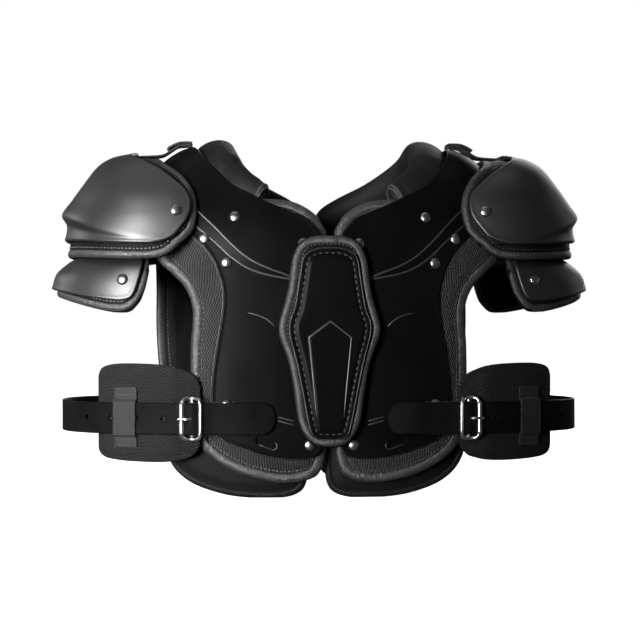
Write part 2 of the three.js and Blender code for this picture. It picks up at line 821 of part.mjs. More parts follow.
// A closed solid through rings of equal count, with flat ends
function lofted(rings) {
  const sides = rings[0].length;
  const triangles = [];
  for (let i = 0; i < rings.length - 1; i += 1) {
    for (let k = 0; k < sides; k += 1) {
      const next = (k + 1) % sides;
      const [a, b, c, d] = [i * sides + k, i * sides + next, (i + 1) * sides + k, (i + 1) * sides + next];
      triangles.push([a, b, d], [a, d, c]);
    }
  }
  const last = (rings.length - 1) * sides;
  for (let k = 1; k < sides - 1; k += 1) {
    triangles.push([0, k + 1, k], [last, last + k, last + k + 1]);
  }
  return closedGeometry(rings.flat(), triangles);
}

const CAPS = {
  epaulet: { size: EPAULET, rows: EPAULET_ROWS, shell: EPAULET_SHELL_EDGE, padding: EPAULET_PAD_EDGE },
  cup: { size: CUP, rows: CUP_ROWS, shell: CUP_SHELL_EDGE, padding: CUP_PAD_EDGE },
};

function capRivetSeat({ cap, row, inward }) {
  const { size, rows } = CAPS[cap];
  return onCap(size, rows, row, capEdgeAngle(size, rows, row, inward), 0);
}

function capShell(name) {
  const { size, rows, shell } = CAPS[name];
  const sheet = capSheet(size, rows, shell, 0, -size.wall);
  const seats = CAP_RIVETS.filter((seat) => seat.cap === name);
  return cutAway(sheet, seats.map((seat) => rivetHole(capRivetSeat(seat), size.wall)));
}

function capPad(name) {
  const { size, rows, padding } = CAPS[name];
  const near = -size.wall - CAP_PAD_GAP;
  return capSheet(size, rows, padding, near, near - size.pad, CAP_PAD_EDGE);
}

// Webbing folded on the arch, running out over the cap's pad to its shell
function shoulderStrap() {
  const { fold, swell, thickness, drop, sink } = SHOULDER_STRAP;
  const padTop = EPAULET.top - sink + GAP;
  const foldEnd = EPAULET.centre - SHOULDER_STRAP.foldEnd;
  const shellEdge = EPAULET.centre + EPAULET.reach * SHOULDER_STRAP.reach;
  const start = SHELL.reach * SHELL_FRONT.at(-1)[1] + 1;
  const stations = [
    [start, crestHeight(start) + GAP, fold],
    [(start + foldEnd) / 2, crestHeight((start + foldEnd) / 2) + GAP, fold + swell],
    [foldEnd, padTop + drop, fold],
    [EPAULET.centre, padTop, thickness],
    [shellEdge, padTop, thickness],
  ];
  const face = (share) => stations.map(([x, z, thick]) => (
    [-0.5, 0.5].map((y) => new THREE.Vector3(x, y * SHOULDER_STRAP.width, z + thick * share))
  ));
  return sheetBetween(face(1), face(0));
}

// Belt and buckle

function buckleAngle() {
  return girdleAngle(BUCKLE.reach, -1);
}

function beltLift(angle) {
  const base = girdleBase(angle);
  const chest = base.y < 0;
  const buckle = girdleBase(buckleAngle());
  const away = base.distanceTo(buckle);
  const bump = chest ? BUCKLE.bump * Math.exp(-((away / BUCKLE.bumpWidth) ** 2)) : 0;
  const ramp = (from, to) => THREE.MathUtils.clamp((base.x - from) / (to - from), 0, 1);
  const { tipLift, frontLift, sideLift, tipReach, tipRamp, edgeRamp, backRamp } = BELT;
  if (!chest) return GAP + (sideLift - GAP) * ramp(SHELL.reach, SHELL.reach * backRamp);
  const tip = tipLift + (frontLift - tipLift) * ramp(tipReach, tipReach + tipRamp);
  return tip + (sideLift - frontLift) * ramp(SHELL.reach - edgeRamp, SHELL.reach + edgeRamp) + bump;
}

function belt() {
  const first = girdleAngle(BELT.tipReach, -1);
  const last = girdleAngle(BELT.endReach, 1);
  const half = BELT.width / 2;
  const tip = Array.from({ length: BELT.tipSteps }, (_, i) => {
    const turn = (Math.PI / 2) * (i / BELT.tipSteps);
    return {
      angle: girdleFrom(first, half * BELT.tipRound * (1 - Math.cos(turn)) + STEP),
      half: half * Math.max(BELT.tipBlunt, Math.sin(turn)),
    };
  });
  const start = girdleFrom(first, half * BELT.tipRound);
  const near = buckleAngle();
  const [before, after] = [girdleFrom(near, -BELT.buckleSpan), girdleFrom(near, BELT.buckleSpan)];
  const spread = (from, to, count) => Array.from({ length: count }, (_, i) => ({
    angle: from + ((to - from) * i) / count,
    half,
  }));
  const stations = [
    ...tip,
    ...spread(start, before, BELT.chestSteps),
    ...spread(before, after, BELT.buckleSteps),
    ...spread(after, last, BELT.sideSteps),
    { angle: last, half },
  ];
  const place = (row, across, lift) => {
    const station = stations[row];
    const height = BELT.height + station.half * (2 * across - 1);
    return onGirdle(station.angle, beltLift(station.angle) + lift, height);
  };
  const strip = sheetOn(place, stations.length, 1, BELT.thickness, 0);
  const holes = Array.from({ length: BELT.holes }, (_, i) => {
    const angle = i === 0 ? near : girdleFrom(near, i * BELT.holePitch);
    const point = onGirdle(angle, beltLift(angle), BELT.height);
    return pin(point, girdleNormal(angle), BELT.holeRadius, BELT.thickness * 4);
  });
  return cutAway(strip, holes);
}

// A place beside the buckle: along the belt line, out from it, and up from the belt's middle
function atBuckle(along, lift, up = 0) {
  const centre = onGirdle(buckleAngle(), 0, BELT.height + up);
  const normal = girdleNormal(buckleAngle());
  const tangent = new THREE.Vector3(-normal.y, normal.x, 0);
  return centre.addScaledVector(tangent, along).addScaledVector(normal, lift);
}

function buckleFrame() {
  const [halfAlong, halfUp] = [BUCKLE.width / 2 - BUCKLE.wire, BUCKLE.height / 2 - BUCKLE.wire];
  const ring = [];
  const corners = [[1, 1], [-1, 1], [-1, -1], [1, -1]];
  corners.forEach(([alongSign, upSign], i) => {
    for (let k = 0; k <= 2; k += 1) {
      const turn = (Math.PI / 2) * (i + k / 2);
      ring.push([
        alongSign * (halfAlong - BUCKLE.corner) + BUCKLE.corner * Math.cos(turn),
        upSign * (halfUp - BUCKLE.corner) + BUCKLE.corner * Math.sin(turn),
      ]);
    }
    if (i % 2 === 0) ring.push([0, upSign * halfUp]);
  });
  const sag = (along) => BUCKLE.rise - BUCKLE.dip * (1 - (along / halfAlong) ** 2);
  const wire = rodAlong(ring.map(([along, up]) => atBuckle(along, sag(along), up)), BUCKLE.wire, BUCKLE.sides, true);
  const bar = pin(atBuckle(0, sag(0)), new THREE.Vector3(0, 0, 1), BUCKLE.bar, 2 * halfUp, BUCKLE.sides);
  return fromSolid(toSolid(wire).add(toSolid(bar)));
}

// The short strap loops round the middle bar and is riveted to the shell under the belt's tip
function buckleStrap() {
  const half = BUCKLE.strapThickness / 2;
  const start = girdleBase(girdleAngle(BUCKLE.strapStart, -1)).distanceTo(girdleBase(buckleAngle()));
  const edge = start - (SHELL.reach - BUCKLE.strapStart);
  const bar = BUCKLE.rise - BUCKLE.dip;
  const loop = BUCKLE.bar + GAP + half;
  const path = [
    [-start, GAP + half],
    [-(start + edge) / 2, GAP + half],
    [-edge, GAP + half],
    ...STRAP_OUT.map(([share, lift]) => [-edge * share, lift]),
    ...[-90, -45, 0, 45, 90].map((turn) => [
      loop * Math.cos(THREE.MathUtils.degToRad(turn)),
      bar + loop * Math.sin(THREE.MathUtils.degToRad(turn)),
    ]),
    ...STRAP_BACK.map(([share, lift]) => [-edge * share, bar + lift]),
  ];
  const side = (sign) => path.map((point, i) => {
    const before = path[Math.max(0, i - 1)];
    const after = path[Math.min(path.length - 1, i + 1)];
    const length = Math.hypot(after[0] - before[0], after[1] - before[1]);
    const along = point[0] - (sign * half * (after[1] - before[1])) / length;
    const lift = point[1] + (sign * half * (after[0] - before[0])) / length;
    const angle = along < 0 ? girdleFrom(buckleAngle(), along) : girdleFrom(buckleAngle(), along + 1e-6);
    return [-0.5, 0.5].map((up) => onGirdle(angle, lift, BELT.height + up * BUCKLE.strapWidth));
  });
  const seat = shellRivetSeat(STRAP_RIVET);
  const holes = [
    rivetHole(seat, SHELL.wall),
    pin(atBuckle(0, bar + loop + 1), girdleNormal(buckleAngle()), BUCKLE.prong + GAP, 4),
  ];
  return cutAway(sheetBetween(side(1), side(-1)), holes);
}

function buckleProng() {
  const bar = BUCKLE.rise - BUCKLE.dip + BUCKLE.bar + GAP;
  const rest = BUCKLE.rise + BUCKLE.wire + GAP + BUCKLE.prong;
  const reach = BUCKLE.width / 2 - BUCKLE.wire;
  const path = [
    [0, bar],
    [0, bar + PRONG_ROOT],
    ...PRONG_PATH.map(([share, below]) => [reach * share, rest - below]),
  ];
  return rodAlong(path.map(([along, lift]) => atBuckle(along, lift)), BUCKLE.prong, BUCKLE.sides);
}

// Webbing loop sewn to the side pad over the belt
function beltKeeper() {
  const middle = girdleAngle(KEEPER.reach, -1);
  const angles = [-0.5, 0, 0.5].map((share) => (share ? girdleFrom(middle, share * KEEPER.width) : middle));
  const flange = SIDE_PAD.lift + GAP;
  const bridge = BELT.sideLift + BELT.thickness + GAP;
  const half = BELT.width / 2 + 2 * GAP;
  const [low, high] = [BELT.height - half, BELT.height + half];
  const under = [
    [flange, KEEPER.top], [flange, high], [bridge, high],
    [bridge, low], [flange, low], [flange, KEEPER.bottom],
  ];
  const over = under.map(([lift, height]) => {
    const inside = height < KEEPER.top && height > KEEPER.bottom;
    const spread = inside ? Math.sign(height - BELT.height) * KEEPER.thickness : 0;
    return [lift + KEEPER.thickness, height + spread];
  });
  const face = (profile) => angles.map((angle) => profile.map(([lift, height]) => onGirdle(angle, lift, height)));
  return sheetBetween(face(over), face(under));
}

function sidePad() {
  const depth = SIDE_PAD.top - SIDE_PAD.bottom;
  const face = (outward) => SIDE_PAD_ROWS.map(([along, low, high, lift], row) => (
    Array.from({ length: SIDE_PAD.columns + 1 }, (_, column) => {
      const across = column / SIDE_PAD.columns;
      const onRim = row === 0 || row === SIDE_PAD_ROWS.length - 1 || column === 0 || column === SIDE_PAD.columns;
      const [near, deep] = [lift * SIDE_PAD.lift, -SIDE_PAD.back];
      const middle = (near + deep) / 2;
      const level = outward ? near : deep;
      const height = SIDE_PAD.bottom + depth * (low + (high - low) * across);
      const reach = SIDE_PAD.start + (SIDE_PAD.end - SIDE_PAD.start) * along;
      const angle = girdleAngle(reach, -1);
      return onGirdle(angle, onRim ? middle + (level - middle) * SIDE_PAD.edge : level, height);
    })
  ));
  return sheetBetween(face(true), face(false));
}

// Middle pieces

function sternumSheet(table, bottom, top, halfWidth, near, deep, edge) {
  const place = (row, across, lift) => {
    const [height, half] = table[row];
    const turn = turnAt(bottom + height * (top - bottom), -1);
    return onTorso(half * halfWidth * (2 * across - 1), turn, lift);
  };
  return sheetOn(place, table.length, STERNUM.columns, near, deep, edge);
}

function sternumPad() {
  const { bottom, top, halfWidth, standOff, padThickness } = STERNUM;
  return sternumSheet(STERNUM_PAD_ROWS, bottom, top, halfWidth, standOff + padThickness, standOff, STERNUM.edge);
}

function sternumPlate() {
  const { plateBottom, plateTop, plateHalfWidth, standOff, padThickness, wall } = STERNUM;
  const deep = standOff + padThickness + GAP;
  return sternumSheet(STERNUM_PLATE_ROWS, plateBottom, plateTop, plateHalfWidth, deep + wall, deep, 1);
}

function backStrap(height) {
  const place = (row, across, lift) => {
    const turn = turnAt(height + BACK_STRAP.width * across, 1);
    return onTorso(BACK_STRAP.halfLength * (row / 2 - 1), turn, lift);
  };
  return sheetOn(place, 5, 1, GAP + BACK_STRAP.thickness, GAP);
}

// Assembly

function addPiece(group, name, geometry, material) {
  const piece = new THREE.Mesh(geometry, material);
  piece.name = name;
  group.add(piece);
  return piece;
}

function buildSide(name, sign) {
  const group = new THREE.Group();
  group.scale.x = sign;
  const add = (piece, geometry, material) => addPiece(group, `${piece}_${name}`, geometry, material);
  add('body_shell', bodyShell(), plastic);
  add('body_pad', bodyPad(), mesh);
  add('lining_pad', liningPad(sign), lining);
  add('neck_pad', neckPad(), lining);
  add('epaulet_shell', capShell('epaulet'), plastic);
  add('epaulet_pad', capPad('epaulet'), mesh);
  add('cup_shell', capShell('cup'), plastic);
  add('cup_pad', capPad('cup'), mesh);
  add('shoulder_strap', shoulderStrap(), webbing);
  add('side_pad', sidePad(), mesh);
  add('belt', belt(), vinyl);
  add('belt_keeper', beltKeeper(), webbing);
  add('buckle_strap', buckleStrap(), webbing);
  add('buckle_frame', buckleFrame(), steel);
  add('buckle_prong', buckleProng(), steel);
  SHELL_RIVETS.forEach((seat) => {
    const { point, normal } = shellRivetSeat(seat);
    group.add(rivet(`${seat.name}_${name}`, point, normal, SHELL.wall));
  });
  CAP_RIVETS.forEach((seat) => {
    const { point, normal } = capRivetSeat(seat);
    group.add(rivet(`${seat.name}_${name}`, point, normal, CAPS[seat.cap].size.wall));
  });
  const { point, normal } = shellRivetSeat(STRAP_RIVET);
  const strapTop = point.clone().addScaledVector(normal, GAP + BUCKLE.strapThickness);
  group.add(rivet(`${STRAP_RIVET.name}_${name}`, strapTop, normal, SHELL.wall + BUCKLE.strapThickness));
  return group;
}

const shoulderPad = new THREE.Group();
shoulderPad.add(buildSide('left', -1), buildSide('right', 1));
addPiece(shoulderPad, 'sternum_pad', sternumPad(), mesh).position.x = STERNUM.shift;
addPiece(shoulderPad, 'sternum_plate', sternumPlate(), plastic).position.x = STERNUM.shift;
BACK_STRAP.heights.forEach((share, i) => {
  addPiece(shoulderPad, `back_strap_${i + 1}`, backStrap(share * TORSO.crest), webbing);
});

// The origin is the middle of the footprint, on the floor
shoulderPad.updateMatrixWorld(true);
const outline = new THREE.Box3().setFromObject(shoulderPad, true);
const middle = outline.getCenter(new THREE.Vector3());
shoulderPad.position.set(-middle.x, -middle.y, -outline.min.z);

export default shoulderPad;
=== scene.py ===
"""Looks of the youth football shoulder pad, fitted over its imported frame.

Sizes are in millimetres and share the source's torso, girdle and cap surfaces; every mesh is
written in metres. Left is -X, the chest is -Y, up is +Z.
"""
import sys
import logging
import math
from dataclasses import dataclass, field
from enum import Enum
from typing import Callable, Optional, Sequence, Union

import bmesh
import bpy
import numpy as np
from mathutils import Matrix, Vector


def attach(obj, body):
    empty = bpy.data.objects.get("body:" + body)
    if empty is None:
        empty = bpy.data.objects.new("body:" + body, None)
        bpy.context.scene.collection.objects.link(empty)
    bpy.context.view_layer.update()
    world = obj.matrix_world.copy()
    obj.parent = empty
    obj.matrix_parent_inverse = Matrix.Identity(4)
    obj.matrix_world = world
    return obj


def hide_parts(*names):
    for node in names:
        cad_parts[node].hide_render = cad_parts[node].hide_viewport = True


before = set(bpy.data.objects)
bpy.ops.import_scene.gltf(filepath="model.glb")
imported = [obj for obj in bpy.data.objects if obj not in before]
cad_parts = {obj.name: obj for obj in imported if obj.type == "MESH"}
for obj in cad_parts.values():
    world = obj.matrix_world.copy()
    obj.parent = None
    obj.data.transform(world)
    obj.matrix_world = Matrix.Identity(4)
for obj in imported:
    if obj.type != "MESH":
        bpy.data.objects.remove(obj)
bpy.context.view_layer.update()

LOG = logging.getLogger("shoulder_pad")
# From the source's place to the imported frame's, in millimetres
SHIFT = np.array([0.0, 4.496, 0.0])
# A millimetre in metres
MM = 0.001
# Step over which a surface's direction is measured
STEP = 0.01
# Air between neighbouring solids, in millimetres
GAP = 0.35

Array = np.ndarray


class Side(Enum):
    """The two halves of the pad."""

    LEFT = -1
    RIGHT = 1

    @property
    def word(self) -> str:
        """The side's word in piece names."""
        return self.name.lower()


class Face(Enum):
    """The two legs of the torso hoop."""

    CHEST = -1
    BACK = 1


# Surfaces


@dataclass(frozen=True)
class Torso:
    """The hoop that chest, arch and back lie on."""

    half_width: float = 233.0
    half_depth: float = 115.0
    oval_power: float = 2.4
    leg_top: float = 200.0
    crest: float = 323.0
    arch_power: float = 2.3
    crest_flat: float = 115.0
    crest_reach: float = 160.0
    shoulder_drop: float = 28.0
    shell_reach: float = 108.0

    def depth(self, reach: Array) -> Array:
        """Half depth of the hoop at a reach."""
        share = np.minimum(np.abs(reach) / self.half_width, 0.999)
        return self.half_depth * (1 - share**self.oval_power) ** (1 / self.oval_power)

    def turn(self, height: Array, face: Face) -> Array:
        """Turn along the hoop at a height: below 0 on the chest leg, past pi on the back leg.

        Args:
            height: height over the floor, in millimetres.
            face: chest or back leg.

        Returns:
            The turn, in radians on the arch.
        """
        rise = (np.asarray(height, float) - self.leg_top) / (self.crest - self.leg_top)
        arch = np.arcsin(np.clip(rise, 0, 1) ** (self.arch_power / 2))
        turn = np.where(rise <= 0, rise, arch)
        return turn if face is Face.CHEST else math.pi - turn

    def point(self, reach: Array, turn: Array) -> Array:
        """Points of the surface, in millimetres.

        Args:
            reach: distance from the middle, signed by side.
            turn: turn along the hoop.

        Returns:
            One place for each pair.
        """
        reach, turn = np.broadcast_arrays(np.asarray(reach, float), np.asarray(turn, float))
        past = np.maximum(0, np.abs(reach) - self.crest_flat) / (self.crest_reach - self.crest_flat)
        arch = self.crest - self.shoulder_drop * past**2 - self.leg_top
        leg = self.crest - self.leg_top
        depth = self.depth(reach)
        power = 2 / self.arch_power
        inside = np.clip(turn, 0, math.pi)
        forward = np.sign(np.cos(inside)) * np.abs(np.cos(inside)) ** power
        y = np.where(turn < 0, -depth, np.where(turn > math.pi, depth, -depth * forward))
        z = np.where(turn < 0, self.leg_top + turn * leg, self.leg_top + arch * np.sin(inside) ** power)
        z = np.where(turn > math.pi, self.leg_top - (turn - math.pi) * leg, z)
        return np.stack([reach, y, z], axis=-1)

    def normal(self, reach: Array, turn: Array) -> Array:
        """Outward normals of the surface.

        Args:
            reach: distance from the middle, signed by side.
            turn: turn along the hoop.

        Returns:
            One normal for each pair.
        """
        across = self.point(reach + STEP, turn) - self.point(reach - STEP, turn)
        along = self.point(reach, turn + STEP) - self.point(reach, turn - STEP)
        return unit(np.cross(across, along))

    def girdle_angle(self, reach: Array, face: Face) -> Array:
        """Angle round the belt line, from the middle of the chest to the middle of the back."""
        angle = np.arcsin((np.asarray(reach, float) / self.half_width) ** (self.oval_power / 2))
        return angle if face is Face.CHEST else math.pi - angle

    def girdle(self, angle: Array) -> Array:
        """Points of the belt line at height 0, on the right side.

        Args:
            angle: angle round the belt line.

        Returns:
            One place for each angle.
        """
        angle = np.asarray(angle, float)
        power = 2 / self.oval_power
        forward = np.sign(np.cos(angle)) * np.abs(np.cos(angle)) ** power
        reach = self.half_width * np.abs(np.sin(angle)) ** power
        return np.stack([reach, -self.half_depth * forward, np.zeros_like(angle)], axis=-1)

    def girdle_normal(self, angle: Array) -> Array:
        """Outward level normals of the belt line."""
        along = self.girdle(angle + STEP) - self.girdle(angle - STEP)
        return unit(np.stack([along[..., 1], -along[..., 0], np.zeros_like(along[..., 0])], axis=-1))

    def on_girdle(self, angle: Array, lift: Array, height: Array) -> Array:
        """Points at a lift off the belt line and a height.

        Args:
            angle: angle round the belt line.
            lift: distance outwards, in millimetres.
            height: height over the floor.

        Returns:
            One place for each angle.
        """
        place = self.girdle(angle) + self.girdle_normal(angle) * np.asarray(lift, float)[..., None]
        place[..., 2] = height
        return place

    def girdle_from(self, angle: float, distance: float) -> float:
        """The angle that lies a distance further along the belt line."""
        turns = angle + np.linspace(0, 1.6 * math.copysign(1, distance), 3201)
        return float(np.interp(abs(distance), run_along(self.girdle(turns)), turns))


@dataclass(frozen=True)
class Cap:
    """A shoulder cap: a dome about its own upright axis, with a profile table."""

    centre: float
    reach: float
    depth: float
    top: float
    rows: tuple
    power: float = 2.3
    wall: float = 3.0

    def profile(self, position: Array) -> Array:
        """Profile values at a row position, through a Catmull-Rom curve."""
        return catmull(np.array(self.rows), position)

    def point(self, position: Array, angle: Array) -> Array:
        """Points of the dome.

        Args:
            position: row position in the profile.
            angle: angle round the cap's axis.

        Returns:
            One place for each pair.
        """
        row = self.profile(position)
        power = 2 / self.power
        c, s = np.cos(angle), np.sin(angle)
        side, chest = self.top * row[..., 1], self.top * row[..., 3]
        return np.stack([
            self.centre + self.reach * row[..., 0] * np.sign(c) * np.abs(c) ** power,
            -self.depth * row[..., 2] * np.sign(s) * np.abs(s) ** power,
            side + (chest - side) * s * s,
        ], axis=-1)

    def normal(self, position: Array, angle: Array) -> Array:
        """Outward normals of the dome.

        Args:
            position: row position in the profile.
            angle: angle round the cap's axis.

        Returns:
            One normal for each pair.
        """
        around = self.point(position, angle + STEP) - self.point(position, angle - STEP)
        up = self.point(position + STEP, angle) - self.point(position - STEP, angle)
        return unit(np.cross(up, around))

    def edge_angle(self, position: Array, inward: Array) -> Array:
        """The angle at which a row reaches a distance inside the cap's axis."""
        share = np.minimum(1, np.abs(inward) / self.profile(position)[..., 0])
        return np.arccos(-np.sign(inward) * share ** (self.power / 2))


def unit(vectors: Array) -> Array:
    """Vectors scaled to length one."""
    return vectors / np.maximum(np.linalg.norm(vectors, axis=-1, keepdims=True), 1e-9)


def run_along(path: Array) -> Array:
    """Length of a path up to each of its places."""
    return np.concatenate([[0], np.cumsum(np.linalg.norm(np.diff(path, axis=0), axis=1))])


def catmull(table: Array, position: Array) -> Array:
    """Values of a table's columns at row positions, on a Catmull-Rom curve.

    Args:
        table: rows of values.
        position: row positions, which may lie between rows.

    Returns:
        One row of values for each position.
    """
    position = np.asarray(position, float)
    count = len(table)
    low = np.clip(np.floor(position).astype(int), 0, count - 2)
    t = (position - low)[..., None]
    a, b, c, d = (table[np.clip(low + k, 0, count - 1)] for k in (-1, 0, 1, 2))
    return b + 0.5 * t * (c - a + t * (2 * a - 5 * b + 4 * c - d + t * (3 * (b - c) + d - a)))


def fine(table: Sequence, parts: int) -> Array:
    """A table's rows with more rows between them."""
    table = np.array(table, float)
    return catmull(table, np.linspace(0, len(table) - 1, (len(table) - 1) * parts + 1))


def spread(table: Sequence, edges: Callable[[Array], Array], pitch: float) -> Array:
    """A table's rows resampled so that its edges move by an even pitch.

    Args:
        table: rows of values.
        edges: gives the places of the two edges for rows of values.
        pitch: distance between rows, in millimetres.

    Returns:
        The resampled rows.
    """
    table = np.array(table, float)
    position = np.linspace(0, len(table) - 1, (len(table) - 1) * 24 + 1)
    step = np.linalg.norm(np.diff(edges(catmull(table, position)), axis=0), axis=2).max(axis=1)
    run = np.concatenate([[0], np.cumsum(step)])
    at = np.linspace(0, run[-1], int(run[-1] / pitch) + 2)
    return catmull(table, np.interp(at, run, position))


def smooth(low: float, high: float, value: Array) -> Array:
    """Smooth ramp from 0 at low to 1 at high."""
    t = np.clip((np.asarray(value, float) - low) / (high - low), 0, 1)
    return t * t * (3 - 2 * t)


def distance_to_path(points: Array, path: Array) -> Array:
    """Distance of each point to a polyline, in 2 or 3 dimensions.

    Args:
        points: places, in any shape of table.
        path: corners of the polyline.

    Returns:
        One distance for each place.
    """
    flat = points.reshape(-1, points.shape[-1])
    best = np.full(len(flat), 1e9)
    for start, end in zip(path[:-1], path[1:]):
        along = end - start
        share = np.clip(((flat - start) @ along) / max(float(along @ along), 1e-9), 0, 1)
        best = np.minimum(best, np.linalg.norm(flat - start - share[:, None] * along, axis=1))
    return best.reshape(points.shape[:-1])


def resampled(path: Array, pitch: float, closed: bool = False) -> Array:
    """A polyline with evenly spaced points.

    Args:
        path: corners of the polyline.
        pitch: distance between places, in millimetres.
        closed: whether it is a ring.

    Returns:
        The new places.
    """
    ring = np.vstack([path, path[:1]]) if closed else path
    run = run_along(ring)
    count = max(3, int(round(run[-1] / pitch)))
    at = np.linspace(0, run[-1], count + 1)[: count if closed else count + 1]
    return np.stack([np.interp(at, run, ring[:, k]) for k in range(ring.shape[1])], axis=1)


TORSO = Torso()

# Meshes


def make_mesh(name: str, points: Array, faces: Sequence, uv: Optional[Array] = None) -> bpy.types.Object:
    """A smooth shaded mesh object from millimetre points.

    Args:
        name: the piece's name.
        points: vertex places in the source's frame, in millimetres.
        faces: vertex numbers of each face.
        uv: one pair for each vertex, in millimetres, or None.

    Returns:
        The linked object, at the origin.
    """
    mesh = bpy.data.meshes.new(name)
    mesh.from_pydata(((points + SHIFT) * MM).tolist(), [], [tuple(int(i) for i in f) for f in faces])
    mesh.validate()
    if uv is not None:
        layer = mesh.uv_layers.new(name="UVMap")
        corner = np.empty(len(mesh.loops), dtype=np.int32)
        mesh.loops.foreach_get("vertex_index", corner)
        layer.data.foreach_set("uv", (uv[corner] * MM).astype(np.float32).ravel())
    mesh.polygons.foreach_set("use_smooth", [True] * len(mesh.polygons))
    piece = bpy.data.objects.new(name, mesh)
    bpy.context.scene.collection.objects.link(piece)
    outward(piece)
    return piece


def outward(piece: bpy.types.Object) -> None:
    """Turns all faces of a closed mesh outwards."""
    shape = bmesh.new()
    shape.from_mesh(piece.data)
    bmesh.ops.recalc_face_normals(shape, faces=shape.faces)
    if shape.calc_volume(signed=True) < 0:
        bmesh.ops.reverse_faces(shape, faces=shape.faces)
    shape.to_mesh(piece.data)
    shape.free()


def cut_by(piece: bpy.types.Object, cutter: bpy.types.Object) -> None:
    """Takes a cutter's shape out of a piece, and removes the cutter.

    Args:
        piece: the piece that is cut.
        cutter: a closed mesh.
    """
    cut = piece.modifiers.new("cut", "BOOLEAN")
    cut.object, cut.operation, cut.solver = cutter, "DIFFERENCE", "EXACT"
    bpy.context.view_layer.objects.active = piece
    bpy.ops.object.modifier_apply(modifier=cut.name)
    bpy.data.objects.remove(cutter, do_unlink=True)


def joined(name: str, pieces: Sequence[bpy.types.Object]) -> bpy.types.Object:
    """Several objects joined into one under a name.

    Args:
        name: the piece's name.
        pieces: the objects, of which the first is kept.

    Returns:
        The joined object.
    """
    bpy.ops.object.select_all(action="DESELECT")
    for piece in pieces:
        piece.select_set(True)
    bpy.context.view_layer.objects.active = pieces[0]
    bpy.ops.object.join()
    pieces[0].name = name
    pieces[0].data.name = name
    return pieces[0]


def dressed(piece: bpy.types.Object, material: bpy.types.Material,
            nodes: Sequence[str] = ()) -> bpy.types.Object:
    """Gives a piece its material and its body, and hides the nodes it stands for.

    Args:
        piece: the finished mesh.
        material: its finish.
        nodes: the source's nodes that it replaces.

    Returns:
        The same piece.
    """
    piece.data.materials.clear()
    piece.data.materials.append(material)
    piece.data.polygons.foreach_set("material_index", [0] * len(piece.data.polygons))
    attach(piece, "root")
    if nodes:
        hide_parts(*nodes)
    LOG.info("%s: %d faces", piece.name, len(piece.data.polygons))
    return piece


def quads(grid: Array, turn: bool) -> list:
    """Faces between the vertex numbers of a grid, turned over where asked."""
    corners = np.stack([grid[:-1, :-1], grid[:-1, 1:], grid[1:, 1:], grid[1:, :-1]], axis=-1)
    corners = corners.reshape(-1, 4)
    return (corners[:, ::-1] if turn else corners).tolist()


@dataclass
class Patch:
    """A grid of places and normals on a carrier surface, with the distance to its rim."""

    points: Array
    normals: Array
    rim_distance: Array = field(init=False)

    def __post_init__(self) -> None:
        """Measures the distance of each grid place to the rim."""
        ring = resampled(self.rim_points(), 1.5, closed=True)
        self.rim_distance = distance_to_path(self.points, np.vstack([ring, ring[:1]]))
        for edge in (np.s_[0, :], np.s_[-1, :], np.s_[:, 0], np.s_[:, -1]):
            self.rim_distance[edge] = 0

    def rim_index(self) -> list:
        """Row and column of each rim place, in order."""
        rows, columns = self.points.shape[:2]
        ring = [(0, c) for c in range(columns - 1)]
        ring += [(r, columns - 1) for r in range(rows - 1)]
        ring += [(rows - 1, c) for c in range(columns - 1, 0, -1)]
        return ring + [(r, 0) for r in range(rows - 1, 0, -1)]

    def rim_points(self) -> Array:
        """The rim's places in order."""
        return np.array([self.points[r, c] for r, c in self.rim_index()])

    def uv(self) -> Array:
        """Lengths across and along the grid, in millimetres."""
        step = np.linalg.norm(np.diff(self.points, axis=1), axis=2)
        across = np.concatenate([np.zeros((len(step), 1)), np.cumsum(step, axis=1)], axis=1)
        middle = across.shape[1] // 2
        across = across - across[:, middle : middle + 1]
        along = run_along(self.points[:, middle])[:, None]
        return np.stack([across, np.broadcast_to(along, across.shape)], axis=-1)

    def rim_frame(self, pitch: float, relax: int) -> tuple:
        """Even rim places with their normals and inward directions.

        Args:
            pitch: distance between places, in millimetres.
            relax: how often they are evened out.

        Returns:
            Places, normals and inward directions.
        """
        index = self.rim_index()
        both = np.hstack([self.rim_points(), np.array([self.normals[r, c] for r, c in index])])
        both = resampled(both, pitch, closed=True)
        for _ in range(relax):
            both = (np.roll(both, 1, axis=0) + 2 * both + np.roll(both, -1, axis=0)) / 4
        places, normals = both[:, :3], unit(both[:, 3:])
        ahead = unit(np.roll(places, -1, axis=0) - np.roll(places, 1, axis=0))
        inward = unit(np.cross(normals, ahead))
        middle = self.points[len(self.points) // 2, self.points.shape[1] // 2]
        toward = np.einsum("ij,ij->i", inward, middle - places)
        if np.median(toward) < 0:
            inward = -inward
        return places, normals, inward

    def solid(self, name: str, outer: Array, inner: Array) -> bpy.types.Object:
        """A closed sheet between two lifts, joined at the rim.

        Args:
            name: the piece's name.
            outer: lift of its outer face at each grid place.
            inner: lift of its inner face.

        Returns:
            The sheet.
        """
        rows, columns = self.points.shape[:2]
        rim = self.rim_distance == 0
        middle = (outer + inner) / 2
        top = self.points + self.normals * np.where(rim, middle, outer)[..., None]
        below = self.points + self.normals * inner[..., None]
        number = np.arange(rows * columns).reshape(rows, columns)
        under = number.copy()
        under[~rim] = rows * columns + np.arange(int((~rim).sum()))
        places = np.vstack([top.reshape(-1, 3), below[~rim]])
        uv = self.uv()
        pairs = np.vstack([uv.reshape(-1, 2), uv[~rim]])
        return make_mesh(name, places, quads(number, False) + quads(under, True), pairs)


def even_columns(count: int) -> Array:
    """Column shares from 0 to 1, closer together at both edges."""
    return 0.5 - 0.5 * np.cos(math.pi * np.linspace(0, 1, count))


